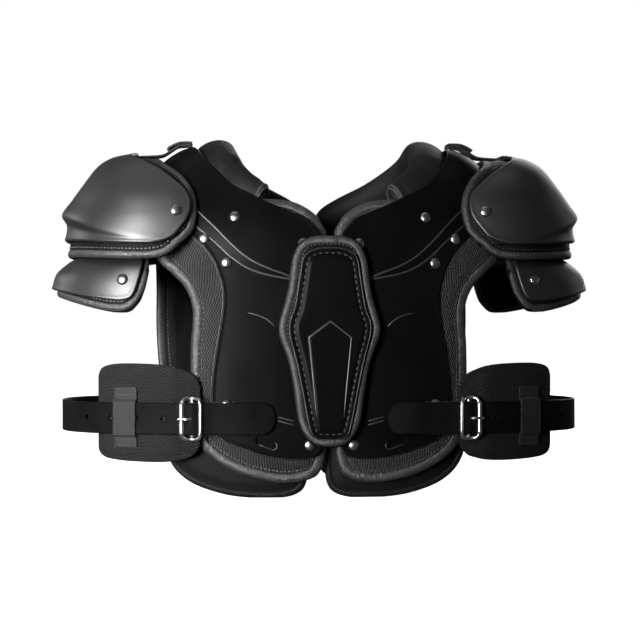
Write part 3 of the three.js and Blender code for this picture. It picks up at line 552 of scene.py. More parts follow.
def tube(name: str, places: Array, out: Array, side: Array, half_out: Array, half_side: Array,
         sides: int = 14, closed: bool = True, power: float = 2.0) -> bpy.types.Object:
    """A band of oval section along a path.

    Args:
        name: the piece's name.
        places: points of the path.
        out: the section's first direction at each point.
        side: its second direction.
        half_out: half thickness along out, one for all places or one for each.
        half_side: half width along side, likewise.
        sides: corners of the section.
        closed: whether the path is a ring.
        power: 2 for an oval, more for a squarer section.

    Returns:
        The band.
    """
    turn = np.linspace(0, 2 * math.pi, sides, endpoint=False)
    c = np.sign(np.cos(turn)) * np.abs(np.cos(turn)) ** (2 / power)
    s = np.sign(np.sin(turn)) * np.abs(np.sin(turn)) ** (2 / power)
    half_out, half_side = (np.reshape(half, (-1, 1)) for half in (half_out, half_side))
    ring = places[:, None] + out[:, None] * (half_out * s)[..., None]
    ring = ring + side[:, None] * (half_side * c)[..., None]
    count = len(places)
    number = np.arange(count * sides).reshape(count, sides)
    rows = np.vstack([number, number[:1]]) if closed else number
    following = np.roll(rows, -1, axis=1)
    faces = np.stack([rows[:-1], following[:-1], following[1:], rows[1:]], axis=-1).reshape(-1, 4).tolist()
    if not closed:
        faces += [number[0].tolist(), number[-1][::-1].tolist()]
    run = run_along(places)[:, None]
    uv = np.stack(np.broadcast_arrays(turn[None] * half_side.max(), run), axis=-1).reshape(-1, 2)
    return make_mesh(name, ring.reshape(-1, 3), faces, uv)


def moulded_line(line: Sequence, side: float, lift: Callable[[Array], Array], half_width: float,
                 rise: float, sharp: bool = False) -> bpy.types.Object:
    """A thin raised line on the chest, tapered at both ends.

    Args:
        line: its reach and height at some places, in millimetres.
        side: 1 or -1 for the side.
        lift: gives the height of the moulded face over the carrier for places.
        half_width: half width of the line.
        rise: how far it stands out.
        sharp: whether the line turns sharply at its places.

    Returns:
        The line as an object.
    """
    rows = np.array(line, float) if sharp else fine(line, 8)
    rows = resampled(rows, 1.2)
    turn = TORSO.turn(rows[:, 1], Face.CHEST)
    reach = rows[:, 0] * side
    normal, base = TORSO.normal(reach, turn), TORSO.point(reach, turn)
    places = base + normal * lift(base)[:, None]
    across = unit(np.cross(normal, unit(np.gradient(places, axis=0))))
    share = np.linspace(0, 1, len(places))
    taper = np.clip(smooth(0, 0.12, share) * smooth(1, 0.88, share), 0.04, 1)
    return tube("line", places, normal, across, rise * taper, half_width * (0.4 + 0.6 * taper), 8,
                closed=False)


def edge_line(patch: Patch, lift: float) -> bpy.types.Object:
    """The fine rolled line round a shell's edge, at a lift over its carrier."""
    places, normals, inward = patch.rim_frame(2.0, 2)
    return tube("line", places + inward * 0.75 + normals * (lift - 0.08), normals, inward, 0.45, 0.5, 6)


def rounded_lift(distance: Array, half: Array, radius: float) -> Array:
    """Half thickness near a rim that is rounded over a radius."""
    t = np.clip(distance / radius, 0, 1)
    return half * np.sqrt(np.maximum(0, 1 - (1 - t) ** 2))


def lathe(profile: Sequence, steps: int) -> tuple:
    """Points and faces of a profile turned about +Z, with closed poles.

    Args:
        profile: pairs of radius and height.
        steps: corners of the circle.

    Returns:
        Places and the vertex numbers of each face.
    """
    turn = np.linspace(0, 2 * math.pi, steps, endpoint=False)
    points, faces, rings = [], [], []
    for radius, height in profile:
        if radius < 1e-6:
            rings.append([len(points)] * steps)
            points.append([0, 0, height])
        else:
            rings.append(list(range(len(points), len(points) + steps)))
            points += [[radius * math.cos(t), radius * math.sin(t), height] for t in turn]
    for low, high in zip(rings[:-1], rings[1:]):
        for k in range(steps):
            corner = [low[k], low[(k + 1) % steps], high[(k + 1) % steps], high[k]]
            faces.append(list(dict.fromkeys(corner)))
    return np.array(points, float), faces


# Geometry nodes


class Tree:
    """A Geometry Nodes tree with named inputs, run on an object and applied."""

    def __init__(self, name: str) -> None:
        """Starts an empty tree."""
        self.group = bpy.data.node_groups.new(name, "GeometryNodeTree")
        self.group.interface.new_socket("Geometry", in_out="INPUT", socket_type="NodeSocketGeometry")
        self.group.interface.new_socket("Geometry", in_out="OUTPUT", socket_type="NodeSocketGeometry")
        self.start = self.group.nodes.new("NodeGroupInput")
        self.end = self.group.nodes.new("NodeGroupOutput")

    def input(self, name: str, kind: str) -> bpy.types.NodeSocket:
        """Adds a named input and returns its socket."""
        self.group.interface.new_socket(name, in_out="INPUT", socket_type=kind)
        return self.start.outputs[name]

    def node(self, kind: str, settings: Optional[dict] = None, **links: object) -> bpy.types.Node:
        """Adds a node, sets its options and joins or sets its inputs by name.

        Args:
            kind: the node's type.
            settings: its options.
            links: sockets or values of its inputs.

        Returns:
            The node.
        """
        made = self.group.nodes.new(kind)
        for key, value in (settings or {}).items():
            setattr(made, key, value)
        for key, value in links.items():
            socket = next(s for s in made.inputs if s.name == key.replace("_", " ") and s.enabled)
            if isinstance(value, bpy.types.NodeSocket):
                self.group.links.new(value, socket)
            else:
                socket.default_value = value
        return made

    def finish(self, geometry: bpy.types.NodeSocket, material: bpy.types.NodeSocket) -> None:
        """Ends the tree in Realize Instances and Set Material."""
        real = self.node("GeometryNodeRealizeInstances", Geometry=geometry)
        painted = self.node("GeometryNodeSetMaterial", Geometry=real.outputs[0], Material=material)
        self.group.links.new(painted.outputs[0], self.end.inputs[0])

    def run(self, name: str, carrier: bpy.types.Object, **values: object) -> bpy.types.Object:
        """Runs the tree on a carrier, which it then removes, and returns a plain mesh object.

        Args:
            name: the piece's name.
            carrier: points or edges that the tree reads.
            values: values of the tree's inputs.

        Returns:
            The made object.
        """
        modifier = carrier.modifiers.new("made", "NODES")
        modifier.node_group = self.group
        sockets = {item.name: item.identifier for item in self.group.interface.items_tree
                   if item.item_type == "SOCKET" and item.in_out == "INPUT"}
        for key, value in values.items():
            modifier[sockets[key.replace("_", " ")]] = value
        view = bpy.context.evaluated_depsgraph_get()
        mesh = bpy.data.meshes.new_from_object(carrier.evaluated_get(view))
        carrier.modifiers.remove(modifier)
        bpy.data.objects.remove(carrier, do_unlink=True)
        mesh.name = name
        made = bpy.data.objects.new(name, mesh)
        bpy.context.scene.collection.objects.link(made)
        return made


def stitch_tree() -> Tree:
    """A row of thread stitches along a path of edges."""
    tree = Tree("stitch_row")
    length, pitch = tree.input("Length", "NodeSocketFloat"), tree.input("Pitch", "NodeSocketFloat")
    thread, material = tree.input("Thread", "NodeSocketFloat"), tree.input("Material", "NodeSocketMaterial")
    path = tree.node("GeometryNodeMeshToCurve", Mesh=tree.start.outputs["Geometry"])
    places = tree.node("GeometryNodeCurveToPoints", {"mode": "LENGTH"}, Curve=path.outputs[0], Length=pitch)
    bead = tree.node("GeometryNodeMeshUVSphere", Segments=5, Rings=4, Radius=1.0)
    size = tree.node("ShaderNodeCombineXYZ", X=thread, Y=thread, Z=length)
    stitch = tree.node("GeometryNodeTransform", Geometry=bead.outputs[0], Scale=size.outputs[0])
    laid = tree.node("GeometryNodeInstanceOnPoints", Points=places.outputs["Points"],
                     Instance=stitch.outputs[0], Rotation=places.outputs["Rotation"])
    tree.finish(laid.outputs[0], material)
    return tree


def fixing_tree() -> Tree:
    """One fixing set on each point, standing along the point's own direction."""
    tree = Tree("fixings")
    shape, material = tree.input("Shape", "NodeSocketObject"), tree.input("Material", "NodeSocketMaterial")
    info = tree.node("GeometryNodeObjectInfo", Object=shape)
    way = tree.node("GeometryNodeInputNamedAttribute", {"data_type": "FLOAT_VECTOR"}, Name="way")
    turn = tree.node("FunctionNodeAlignRotationToVector", {"axis": "Z"}, Vector=way.outputs[0])
    laid = tree.node("GeometryNodeInstanceOnPoints", Points=tree.start.outputs["Geometry"],
                     Instance=info.outputs["Geometry"], Rotation=turn.outputs[0])
    tree.finish(laid.outputs[0], material)
    return tree


def path_carrier(paths: Sequence, closed: bool = True) -> bpy.types.Object:
    """An object of bare edges along several millimetre paths.

    Args:
        paths: tables of places.
        closed: whether each is a ring.

    Returns:
        The carrier.
    """
    places, edges = [], []
    for path in paths:
        first = sum(len(p) for p in places)
        places.append(path)
        edges += [(first + i, first + i + 1) for i in range(len(path) - 1)]
        if closed:
            edges.append((first + len(path) - 1, first))
    mesh = bpy.data.meshes.new("path")
    mesh.from_pydata(((np.vstack(places) + SHIFT) * MM).tolist(), edges, [])
    carrier = bpy.data.objects.new("path", mesh)
    bpy.context.scene.collection.objects.link(carrier)
    return carrier


# Shader kit


class Wire:
    """A shader value with arithmetic that adds Math nodes."""

    def __init__(self, kit: "Shader", socket: bpy.types.NodeSocket) -> None:
        """Wraps a socket of a material."""
        self.kit, self.socket = kit, socket

    def __add__(self, other: Union["Wire", float]) -> "Wire":
        """Sum."""
        return self.kit.math("ADD", self, other)

    __radd__ = __add__

    def __sub__(self, other: Union["Wire", float]) -> "Wire":
        """Difference."""
        return self.kit.math("SUBTRACT", self, other)

    def __rsub__(self, other: Union["Wire", float]) -> "Wire":
        """Reflected difference."""
        return self.kit.math("SUBTRACT", other, self)

    def __mul__(self, other: Union["Wire", float]) -> "Wire":
        """Product."""
        return self.kit.math("MULTIPLY", self, other)

    __rmul__ = __mul__


def times(tone: Sequence, share: float) -> tuple:
    """A colour made darker or lighter by a share."""
    return tuple(share * part for part in tone)


class Shader:
    """A node material with one Principled surface."""

    def __init__(self, name: str, **settings: object) -> None:
        """Makes the material and sets the surface's own sockets."""
        self.material = bpy.data.materials.new(name)
        self.material.use_nodes = True
        self.nodes, self.links = self.material.node_tree.nodes, self.material.node_tree.links
        self.surface = next(n for n in self.nodes if n.type == "BSDF_PRINCIPLED")
        for key, value in settings.items():
            self.surface.inputs[key.replace("_", " ")].default_value = value

    def node(self, kind: str, settings: Optional[dict] = None,
             sockets: Optional[dict] = None) -> bpy.types.Node:
        """Adds a node: options first, then the values or links of its sockets.

        Args:
            kind: the node's type.
            settings: its options, with a ramp's stops.
            sockets: values or links by socket.

        Returns:
            The node.
        """
        made = self.nodes.new(kind)
        for key, value in (settings or {}).items():
            if key == "stops":
                ramp = made.color_ramp
                while len(ramp.elements) < len(value):
                    ramp.elements.new(0.5)
                for element, (place, shade) in zip(ramp.elements, value):
                    element.position, element.color = place, shade
            else:
                setattr(made, key, value)
        for key, value in (sockets or {}).items():
            socket = made.inputs[key]
            if isinstance(value, Wire):
                self.links.new(value.socket, socket)
            elif isinstance(value, bpy.types.NodeSocket):
                self.links.new(value, socket)
            else:
                socket.default_value = value
        return made

    def math(self, operation: str, *values: Union[Wire, float]) -> Wire:
        """A Math node of plain numbers and wires."""
        sockets = dict(enumerate(values))
        return Wire(self, self.node("ShaderNodeMath", {"operation": operation}, sockets).outputs[0])

    def place(self, source: str = "Object", scale: Sequence = (1, 1, 1)) -> bpy.types.NodeSocket:
        """Texture coordinates with a scale."""
        coordinates = self.node("ShaderNodeTexCoord").outputs[source]
        return self.node("ShaderNodeMapping", None, {"Vector": coordinates, "Scale": scale}).outputs[0]

    def parts(self, vector: bpy.types.NodeSocket) -> tuple:
        """The x, y and z of a vector as wires."""
        split = self.node("ShaderNodeSeparateXYZ", None, {0: vector})
        return tuple(Wire(self, split.outputs[k]) for k in range(3))

    def noise(self, vector: bpy.types.NodeSocket, scale: float, detail: float = 3.0) -> Wire:
        """Noise from 0 to 1."""
        made = self.node("ShaderNodeTexNoise", None, {"Vector": vector, "Scale": scale, "Detail": detail})
        return Wire(self, made.outputs["Factor"] if "Factor" in made.outputs else made.outputs[0])

    def wave(self, value: Wire) -> Wire:
        """Sine of a wire in turns, from 0 to 1."""
        return self.math("SINE", value * (2 * math.pi)) * 0.5 + 0.5

    def colour(self, value: Wire, low: Sequence, high: Sequence, start: float = 0.0,
               end: float = 1.0) -> None:
        """Links the base colour to a ramp between two colours.

        Args:
            value: what the ramp reads.
            low: the colour at its start.
            high: the colour at its end.
            start: where it starts.
            end: where it ends.
        """
        stops = [(start, (*low, 1)), (end, (*high, 1))]
        ramp = self.node("ShaderNodeValToRGB", {"stops": stops}, {0: value})
        self.links.new(ramp.outputs[0], self.surface.inputs["Base Color"])

    def rough(self, value: Wire) -> None:
        """Sets the roughness link."""
        self.links.new(value.socket, self.surface.inputs["Roughness"])

    def bump(self, *layers: tuple) -> None:
        """Chains bump layers of (height wire, depth in metres) into the normal.

        Args:
            layers: pairs of height and depth.
        """
        normal = None
        for height, depth in layers:
            sockets = {"Height": height, "Strength": 1.0, "Distance": depth}
            if normal is not None:
                sockets["Normal"] = normal
            normal = self.node("ShaderNodeBump", None, sockets).outputs[0]
        self.links.new(normal, self.surface.inputs["Normal"])


# Finishes


@dataclass(frozen=True)
class ShellPlastic:
    """Satin black moulded plastic with faint flow, handling marks and fine grain."""

    name: str = "satin_black_plastic"
    tone: tuple = (0.0022, 0.0022, 0.0024)
    rough: float = 0.34
    gloss: float = 0.028

    def build(self) -> bpy.types.Material:
        """Makes the material."""
        made = Shader(self.name, Specular_IOR_Level=self.gloss)
        place = made.place()
        cloud = made.noise(place, 22, 3)
        grain = made.noise(place, 2600, 2)
        haze = made.noise(place, 90, 4)
        made.colour(cloud, times(self.tone, 0.8), times(self.tone, 1.35), 0.3, 0.7)
        made.rough(cloud * 0.10 + haze * 0.05 + (self.rough - 0.075))
        made.bump((grain, 0.000012), (cloud, 0.0002))
        return made.material


@dataclass(frozen=True)
class MeshFabric:
    """Air mesh: a staggered field of round cells in charcoal yarn."""

    name: str = "charcoal_mesh"
    pitch: float = 0.0024
    yarn: tuple = (0.058, 0.058, 0.06)
    hole: tuple = (0.002, 0.002, 0.002)

    def build(self) -> bpy.types.Material:
        """Makes the material."""
        made = Shader(self.name, Roughness=0.85, Specular_IOR_Level=0.3)
        u, v, _ = made.parts(made.place("UV", (1 / self.pitch, 1 / self.pitch, 1)))
        cell = made.wave(u + v * 0.5) * made.wave(v * 0.5 - u)
        knot = made.wave(v + 0.25)
        cell = made.math("POWER", cell, 0.6) * 0.85 + knot * 0.15
        cloud = made.noise(made.place(), 30, 3)
        fuzz = made.noise(made.place(), 1500, 2)
        shade = cell * (cloud * 0.5 + 0.75)
        made.colour(shade, self.hole, self.yarn, 0.25, 0.85)
        made.rough(0.9 - cell * 0.4)
        made.bump((cell, 0.0010), (fuzz, 0.0002))
        return made.material


@dataclass(frozen=True)
class BindingTape:
    """Woven tape that binds the pads' edges."""

    name: str = "binding_tape"
    tone: tuple = (0.017, 0.017, 0.018)
    gloss: float = 0.5

    def build(self) -> bpy.types.Material:
        """Makes the material."""
        made = Shader(self.name, Roughness=0.5, Specular_IOR_Level=self.gloss)
        u, v, _ = made.parts(made.place("UV"))
        rib = made.wave(v * 900.0) * (made.wave(u * 700.0) * 0.4 + 0.6)
        cloud = made.noise(made.place(), 60, 3)
        mottle = made.noise(made.place(), 260, 3)
        shade = rib * 0.3 + cloud * 0.35 + mottle * 0.35
        made.colour(shade, times(self.tone, 0.35), times(self.tone, 2.2), 0.3, 0.75)
        pucker = made.noise(made.place("UV", (0.35, 1, 1)), 420, 2)
        made.rough(0.36 + mottle * 0.3)
        made.bump((rib, 0.00014), (cloud, 0.0018), (pucker, 0.0008))
        return made.material


@dataclass(frozen=True)
class LiningNylon:
    """Smooth dark nylon drawn over foam."""

    name: str = "lining_nylon"
    tone: tuple = (0.003, 0.003, 0.0034)
    gloss: float = 0.07

    def build(self) -> bpy.types.Material:
        """Makes the material."""
        made = Shader(self.name, Roughness=0.6, Specular_IOR_Level=self.gloss)
        place = made.place()
        x, y, z = made.parts(place)
        weave = made.wave((x + y) * 1300.0) * made.wave((z - y) * 1300.0)
        cloud = made.noise(place, 26, 4)
        crease = made.noise(made.place("Object", (1, 1, 0.35)), 70, 2)
        made.colour(cloud, times(self.tone, 0.7), times(self.tone, 1.7), 0.3, 0.72)
        made.rough(0.45 + cloud * 0.25)
        made.bump((weave, 0.00009), (crease, 0.0014))
        return made.material


@dataclass(frozen=True)
class Webbing:
    """Black webbing with cross ribs."""

    rib: float = 900.0
    tone: tuple = (0.0065, 0.0065, 0.007)

    def build(self) -> bpy.types.Material:
        """Makes the material."""
        made = Shader("black_webbing", Roughness=0.7, Specular_IOR_Level=0.4, Sheen_Weight=0.06,
                      Sheen_Roughness=0.4)
        u, v, _ = made.parts(made.place("UV"))
        ridge = made.wave(v * self.rib)
        cross = made.wave(u * 520.0 + ridge * 0.25)
        cloud = made.noise(made.place(), 120, 3)
        weave = ridge * 0.6 + cross * 0.4
        shade = weave * 0.6 + cloud * 0.4
        made.colour(shade, times(self.tone, 0.5), times(self.tone, 1.9), 0.2, 0.85)
        made.rough(0.5 + cloud * 0.3)
        made.bump((weave, 0.00035))
        return made.material


@dataclass(frozen=True)
class BeltVinyl:
    """Coated webbing with a fine lengthwise rib under a satin skin."""

    tone: tuple = (0.0026, 0.0026, 0.003)

    def build(self) -> bpy.types.Material:
        """Makes the material."""
        made = Shader("belt_vinyl", Roughness=0.4, Specular_IOR_Level=0.045)
        u, v, _ = made.parts(made.place("UV"))
        ridge = made.wave(u * 1250.0) * 0.7 + made.wave(v * 1100.0) * 0.3
        cloud = made.noise(made.place(), 45, 4)
        scuff = made.noise(made.place("UV", (14, 240, 1)), 5, 3)
        made.colour(cloud, times(self.tone, 0.6), times(self.tone, 1.7), 0.3, 0.75)
        made.rough(0.38 + cloud * 0.18 + scuff * 0.12)
        made.bump((ridge, 0.00014), (cloud, 0.0006))
        return made.material


@dataclass(frozen=True)
class PolishedSteel:
    """Nickel plate with light wear."""

    name: str = "polished_steel"
    tone: float = 0.65

    def build(self) -> bpy.types.Material:
        """Makes the material."""
        made = Shader(self.name, Metallic=1.0)
        place = made.place()
        cloud = made.noise(place, 260, 3)
        scratch = made.noise(made.place("Object", (30, 30, 900)), 3, 2)
        made.colour(cloud, (0.8 * self.tone,) * 3, (1.2 * self.tone,) * 3, 0.3, 0.7)
        made.rough(0.20 + cloud * 0.12 + scratch * 0.08)
        made.bump((scratch, 0.00002))
        return made.material


@dataclass(frozen=True)
class Thread:
    """Dark grey sewing thread."""

    tone: tuple = (0.035, 0.035, 0.036)

    def build(self) -> bpy.types.Material:
        """Makes the material."""
        made = Shader("thread", Roughness=0.45, Specular_IOR_Level=0.6)
        twist = made.noise(made.place(), 1800, 2)
        made.colour(twist, times(self.tone, 0.6), times(self.tone, 1.6), 0.3, 0.7)
        made.bump((twist, 0.0001))
        return made.material


@dataclass(frozen=True)
class StudioFloor:
    """Pale matt floor."""

    tone: tuple = (0.86, 0.86, 0.86)

    def build(self) -> bpy.types.Material:
        """Makes the material."""
        made = Shader("pale_floor", Roughness=0.9, Specular_IOR_Level=0.2, Emission_Color=(1, 1, 1, 1),
                      Emission_Strength=0.93)
        cloud = made.noise(made.place(), 3, 2)
        made.colour(cloud, times(self.tone, 0.985), self.tone)
        return made.material


class Finishes:
    """All finishes and node trees of the part, built once."""

    def __init__(self) -> None:
        """Builds every material and tree."""
        self.plastic = ShellPlastic().build()
        # The caps' own plastic. The raised lines on the chest and sternum plates also wear it, where its
        # lighter tone and gloss are a painted highlight.
        self.cap_plastic = ShellPlastic("soft_black_plastic", (0.005, 0.005, 0.0055), 0.46, 0.8).build()
        self.mesh = MeshFabric().build()
        self.side_mesh = MeshFabric("black_mesh", 0.0026, (0.013, 0.013, 0.014), (0.001,) * 3).build()
        self.tape = BindingTape().build()
        self.dark_tape = BindingTape("lining_tape", (0.005, 0.005, 0.0055), 0.12).build()
        self.lining = LiningNylon().build()
        self.collar = LiningNylon("collar_fabric", (0.0045, 0.0045, 0.005), 0.16).build()
        self.webbing = Webbing().build()
        self.vinyl = BeltVinyl().build()
        self.steel = PolishedSteel().build()
        self.rivet_steel = PolishedSteel("dark_nickel", 0.34).build()
        self.thread = Thread().build()
        self.floor = StudioFloor().build()
        self.stitches = stitch_tree()
        self.fixings = fixing_tree()

    def sewn(self, name: str, paths: Sequence, closed: bool = True, length: float = 2.4,
             pitch: float = 3.6, thread: float = 0.55) -> bpy.types.Object:
        """A piece of stitches along millimetre paths.

        Args:
            name: the piece's name.
            paths: tables of places.
            closed: whether each is a ring.
            length: a stitch's length.
            pitch: distance between stitches.
            thread: the thread's half width.

        Returns:
            The stitches.
        """
        made = self.stitches.run(name, path_carrier(paths, closed), Length=length / 2 * MM,
                                 Pitch=pitch * MM, Thread=thread * MM, Material=self.thread)
        return dressed(made, self.thread)


# Padded sheets


@dataclass(frozen=True)
class PadCut:
    """How a padded sheet is cut: lifts of its faces, its pressed edge and its binding."""

    near: float
    deep: float
    edge_half: float = 2.3
    band: float = 6.6
    swell: float = 9.0
    crown: float = 0.8
    crown_width: float = 40.0
    seam: float = 1.2


@dataclass
class PaddedSheet:
    """A foam pad in fabric with a bound, stitched edge."""

    name: str
    patch: Patch
    cut: PadCut
    finishes: Finishes
    slot: str = "mesh_fabric"
    tape: Optional[bpy.types.Material] = None

    def half(self, d: Array) -> Array:
        """Half thickness at a distance from the rim.

        Args:
            d: distance from the rim, in millimetres.

        Returns:
            The half thickness.
        """
        cut = self.cut
        full = abs(cut.near - cut.deep) / 2
        edge = rounded_lift(d, cut.edge_half, cut.edge_half)
        puff = smooth(cut.band - 1.5, cut.band + cut.swell, d)
        crown = cut.crown * np.sqrt(np.clip((d - cut.band) / cut.crown_width, 0, 1))
        return edge + (full - cut.edge_half) * puff + crown

    def body(self, material: bpy.types.Material, nodes: Sequence[str],
             back: Optional[bpy.types.Material] = None) -> bpy.types.Object:
        """The foam body, with another fabric on its back where one is given.

        Args:
            material: its fabric.
            nodes: the nodes that it replaces.
            back: the fabric of its back.

        Returns:
            The body.
        """
        middle = (self.cut.near + self.cut.deep) / 2
        half = self.half(self.patch.rim_distance)
        piece = self.patch.solid(self.name, middle + half, middle - half)
        dressed(piece, material, nodes)
        if back:
            count = len(piece.data.polygons) // 2
            piece.data.materials.append(back)
            piece.data.polygons.foreach_set("material_index", [0] * count + [1] * count)
        return piece

    def binding(self) -> bpy.types.Object:
        """The tape round the edge."""
        middle = (self.cut.near + self.cut.deep) / 2
        places, normals, inward = self.patch.rim_frame(2.5, 6)
        seam = -int(np.argmax(places[:, 1]))
        places, normals, inward = (np.roll(each, seam, axis=0) for each in (places, normals, inward))
        half = self.cut.band / 2 + 0.2
        places = places + inward * half + normals * middle
        made = tube(f"{self.name}_binding", places, normals, inward, self.cut.edge_half + 0.75, half,
                    power=2.3)
        return dressed(made, self.tape or self.finishes.tape)

    def stitching(self) -> bpy.types.Object:
        """Stitches beside the tape, on both faces."""
        middle = (self.cut.near + self.cut.deep) / 2
        places, normals, inward = self.patch.rim_frame(2.5, 6)
        reach = self.cut.band + self.cut.seam
        at = places + inward * reach
        lift = float(self.half(np.array(reach))) + 0.2
        paths = [at + normals * (middle + lift), at + normals * (middle - lift)]
        return self.finishes.sewn(f"{self.name}_stitches", paths)


# Body


SHELL_FRONT = (
    (0.110, 0.222, 0.352), (0.117, 0.139, 0.509), (0.130, 0.097, 0.648), (0.146, 0.074, 0.787),
    (0.164, 0.069, 0.898), (0.190, 0.069, 0.965), (0.279, 0.074, 1.000), (0.368, 0.074, 0.981),
    (0.464, 0.074, 0.935), (0.529, 0.074, 0.907), (0.588, 0.074, 0.911), (0.644, 0.074, 0.963),
    (0.690, 0.074, 1.046), (0.728, 0.083, 1.157), (0.758, 0.140, 1.220), (0.783, 0.220, 1.265),
    (0.805, 0.389, 1.296), (0.836, 0.593, 1.333), (0.879, 0.833, 1.380), (0.920, 0.944, 1.407),
    (0.960, 1.037, 1.444), (1.000, 1.111, 1.463),
)
SHELL_BACK = (
    (0.969, 1.020, 1.444), (0.938, 0.900, 1.420), (0.907, 0.759, 1.400), (0.867, 0.580, 1.365),
    (0.824, 0.352, 1.320), (0.774, 0.083, 1.250), (0.735, 0.074, 1.170), (0.690, 0.074, 1.070),
    (0.635, 0.074, 0.975), (0.573, 0.074, 0.930), (0.440, 0.074, 0.960), (0.279, 0.074, 1.010),
    (0.170, 0.074, 0.975), (0.128, 0.090, 0.830), (0.105, 0.139, 0.640), (0.092, 0.240, 0.400),
)
PAD_FRONT = (
    (0.043, 0.306, 0.444), (0.050, 0.204, 0.556), (0.062, 0.120, 0.704), (0.084, 0.074, 0.861),
    (0.111, 0.051, 0.991), (0.146, 0.037, 1.093), (0.192, 0.032, 1.148), (0.279, 0.032, 1.176),
    (0.418, 0.032, 1.176), (0.525, 0.032, 1.160), (0.588, 0.032, 1.231), (0.628, 0.032, 1.343),
    (0.656, 0.032, 1.426), (0.690, 0.032, 1.470), (0.745, 0.032, 1.475), (0.774, 0.072, 1.475),
    (0.800, 0.124, 1.475), (0.826, 0.228, 1.475), (0.842, 0.350, 1.475), (0.848, 0.560, 1.475),
    (0.852, 0.840, 1.475), (0.870, 0.910, 1.475), (0.895, 1.000, 1.475), (0.945, 1.110, 1.475),
    (1.000, 1.215, 1.475),
)
PAD_BACK = (
    (0.962, 1.125, 1.475), (0.920, 0.980, 1.475), (0.880, 0.830, 1.475), (0.842, 0.650, 1.475),
    (0.800, 0.430, 1.475), (0.774, 0.290, 1.475), (0.750, 0.160, 1.475), (0.742, 0.037, 1.475),
    (0.690, 0.032, 1.463), (0.588, 0.032, 1.454), (0.464, 0.032, 1.454), (0.341, 0.032, 1.426),
    (0.217, 0.032, 1.370), (0.139, 0.032, 1.306), (0.087, 0.037, 1.204), (0.050, 0.065, 1.093),
    (0.025, 0.111, 0.981), (0.009, 0.185, 0.852), (0.000, 0.278, 0.694),
)
LINING_ROWS = (
    (0.000, 0.296, 0.574), (0.006, 0.204, 0.741), (0.019, 0.130, 0.907), (0.037, 0.093, 1.056),
    (0.062, 0.074, 1.176), (0.093, 0.074, 1.259), (0.130, 0.074, 1.306), (0.192, 0.093, 1.306),
    (0.263, 0.130, 1.250), (0.334, 0.204, 1.111),
)


def torso_patch(front: Sequence, back: Sequence, side: Side, columns: int, pitch: float,
                shift: float = 0.0, back_share: float = 1.0) -> Patch:
    """A patch of rows of height, inner and outer edge along the torso.

    Args:
        front: rows on the chest, from below to the crest.
        back: rows on the back, from the crest down.
        side: which half.
        columns: grid columns.
        pitch: distance between grid rows, in millimetres.
        shift: how far the patch lies off its place in x, in millimetres.
        back_share: how densely rows lie on the back, as a share of the chest's.

    Returns:
        The patch.
    """
    rows = [(float(TORSO.turn(h * TORSO.crest, Face.CHEST)), i, o) for h, i, o in front]
    rows += [(float(TORSO.turn(h * TORSO.crest, Face.BACK)), i, o) for h, i, o in back]

    def edges(values: Array) -> Array:
        """Places of both edges for rows of turn, inner and outer edge."""
        places = TORSO.point(values[:, 1:] * TORSO.shell_reach, values[:, :1])
        weight = np.where(values[:, 0] > math.pi / 2, back_share, 1.0)
        return places * weight[:, None, None]

    table = spread(rows, edges, pitch)
    share = even_columns(columns)[None]
    inner, outer = table[:, 1:2] * TORSO.shell_reach, table[:, 2:3] * TORSO.shell_reach
    reach = side.value * (inner + (outer - inner) * share) + shift
    turn = np.broadcast_to(table[:, :1], reach.shape)
    return Patch(TORSO.point(reach, turn), TORSO.normal(reach, turn))


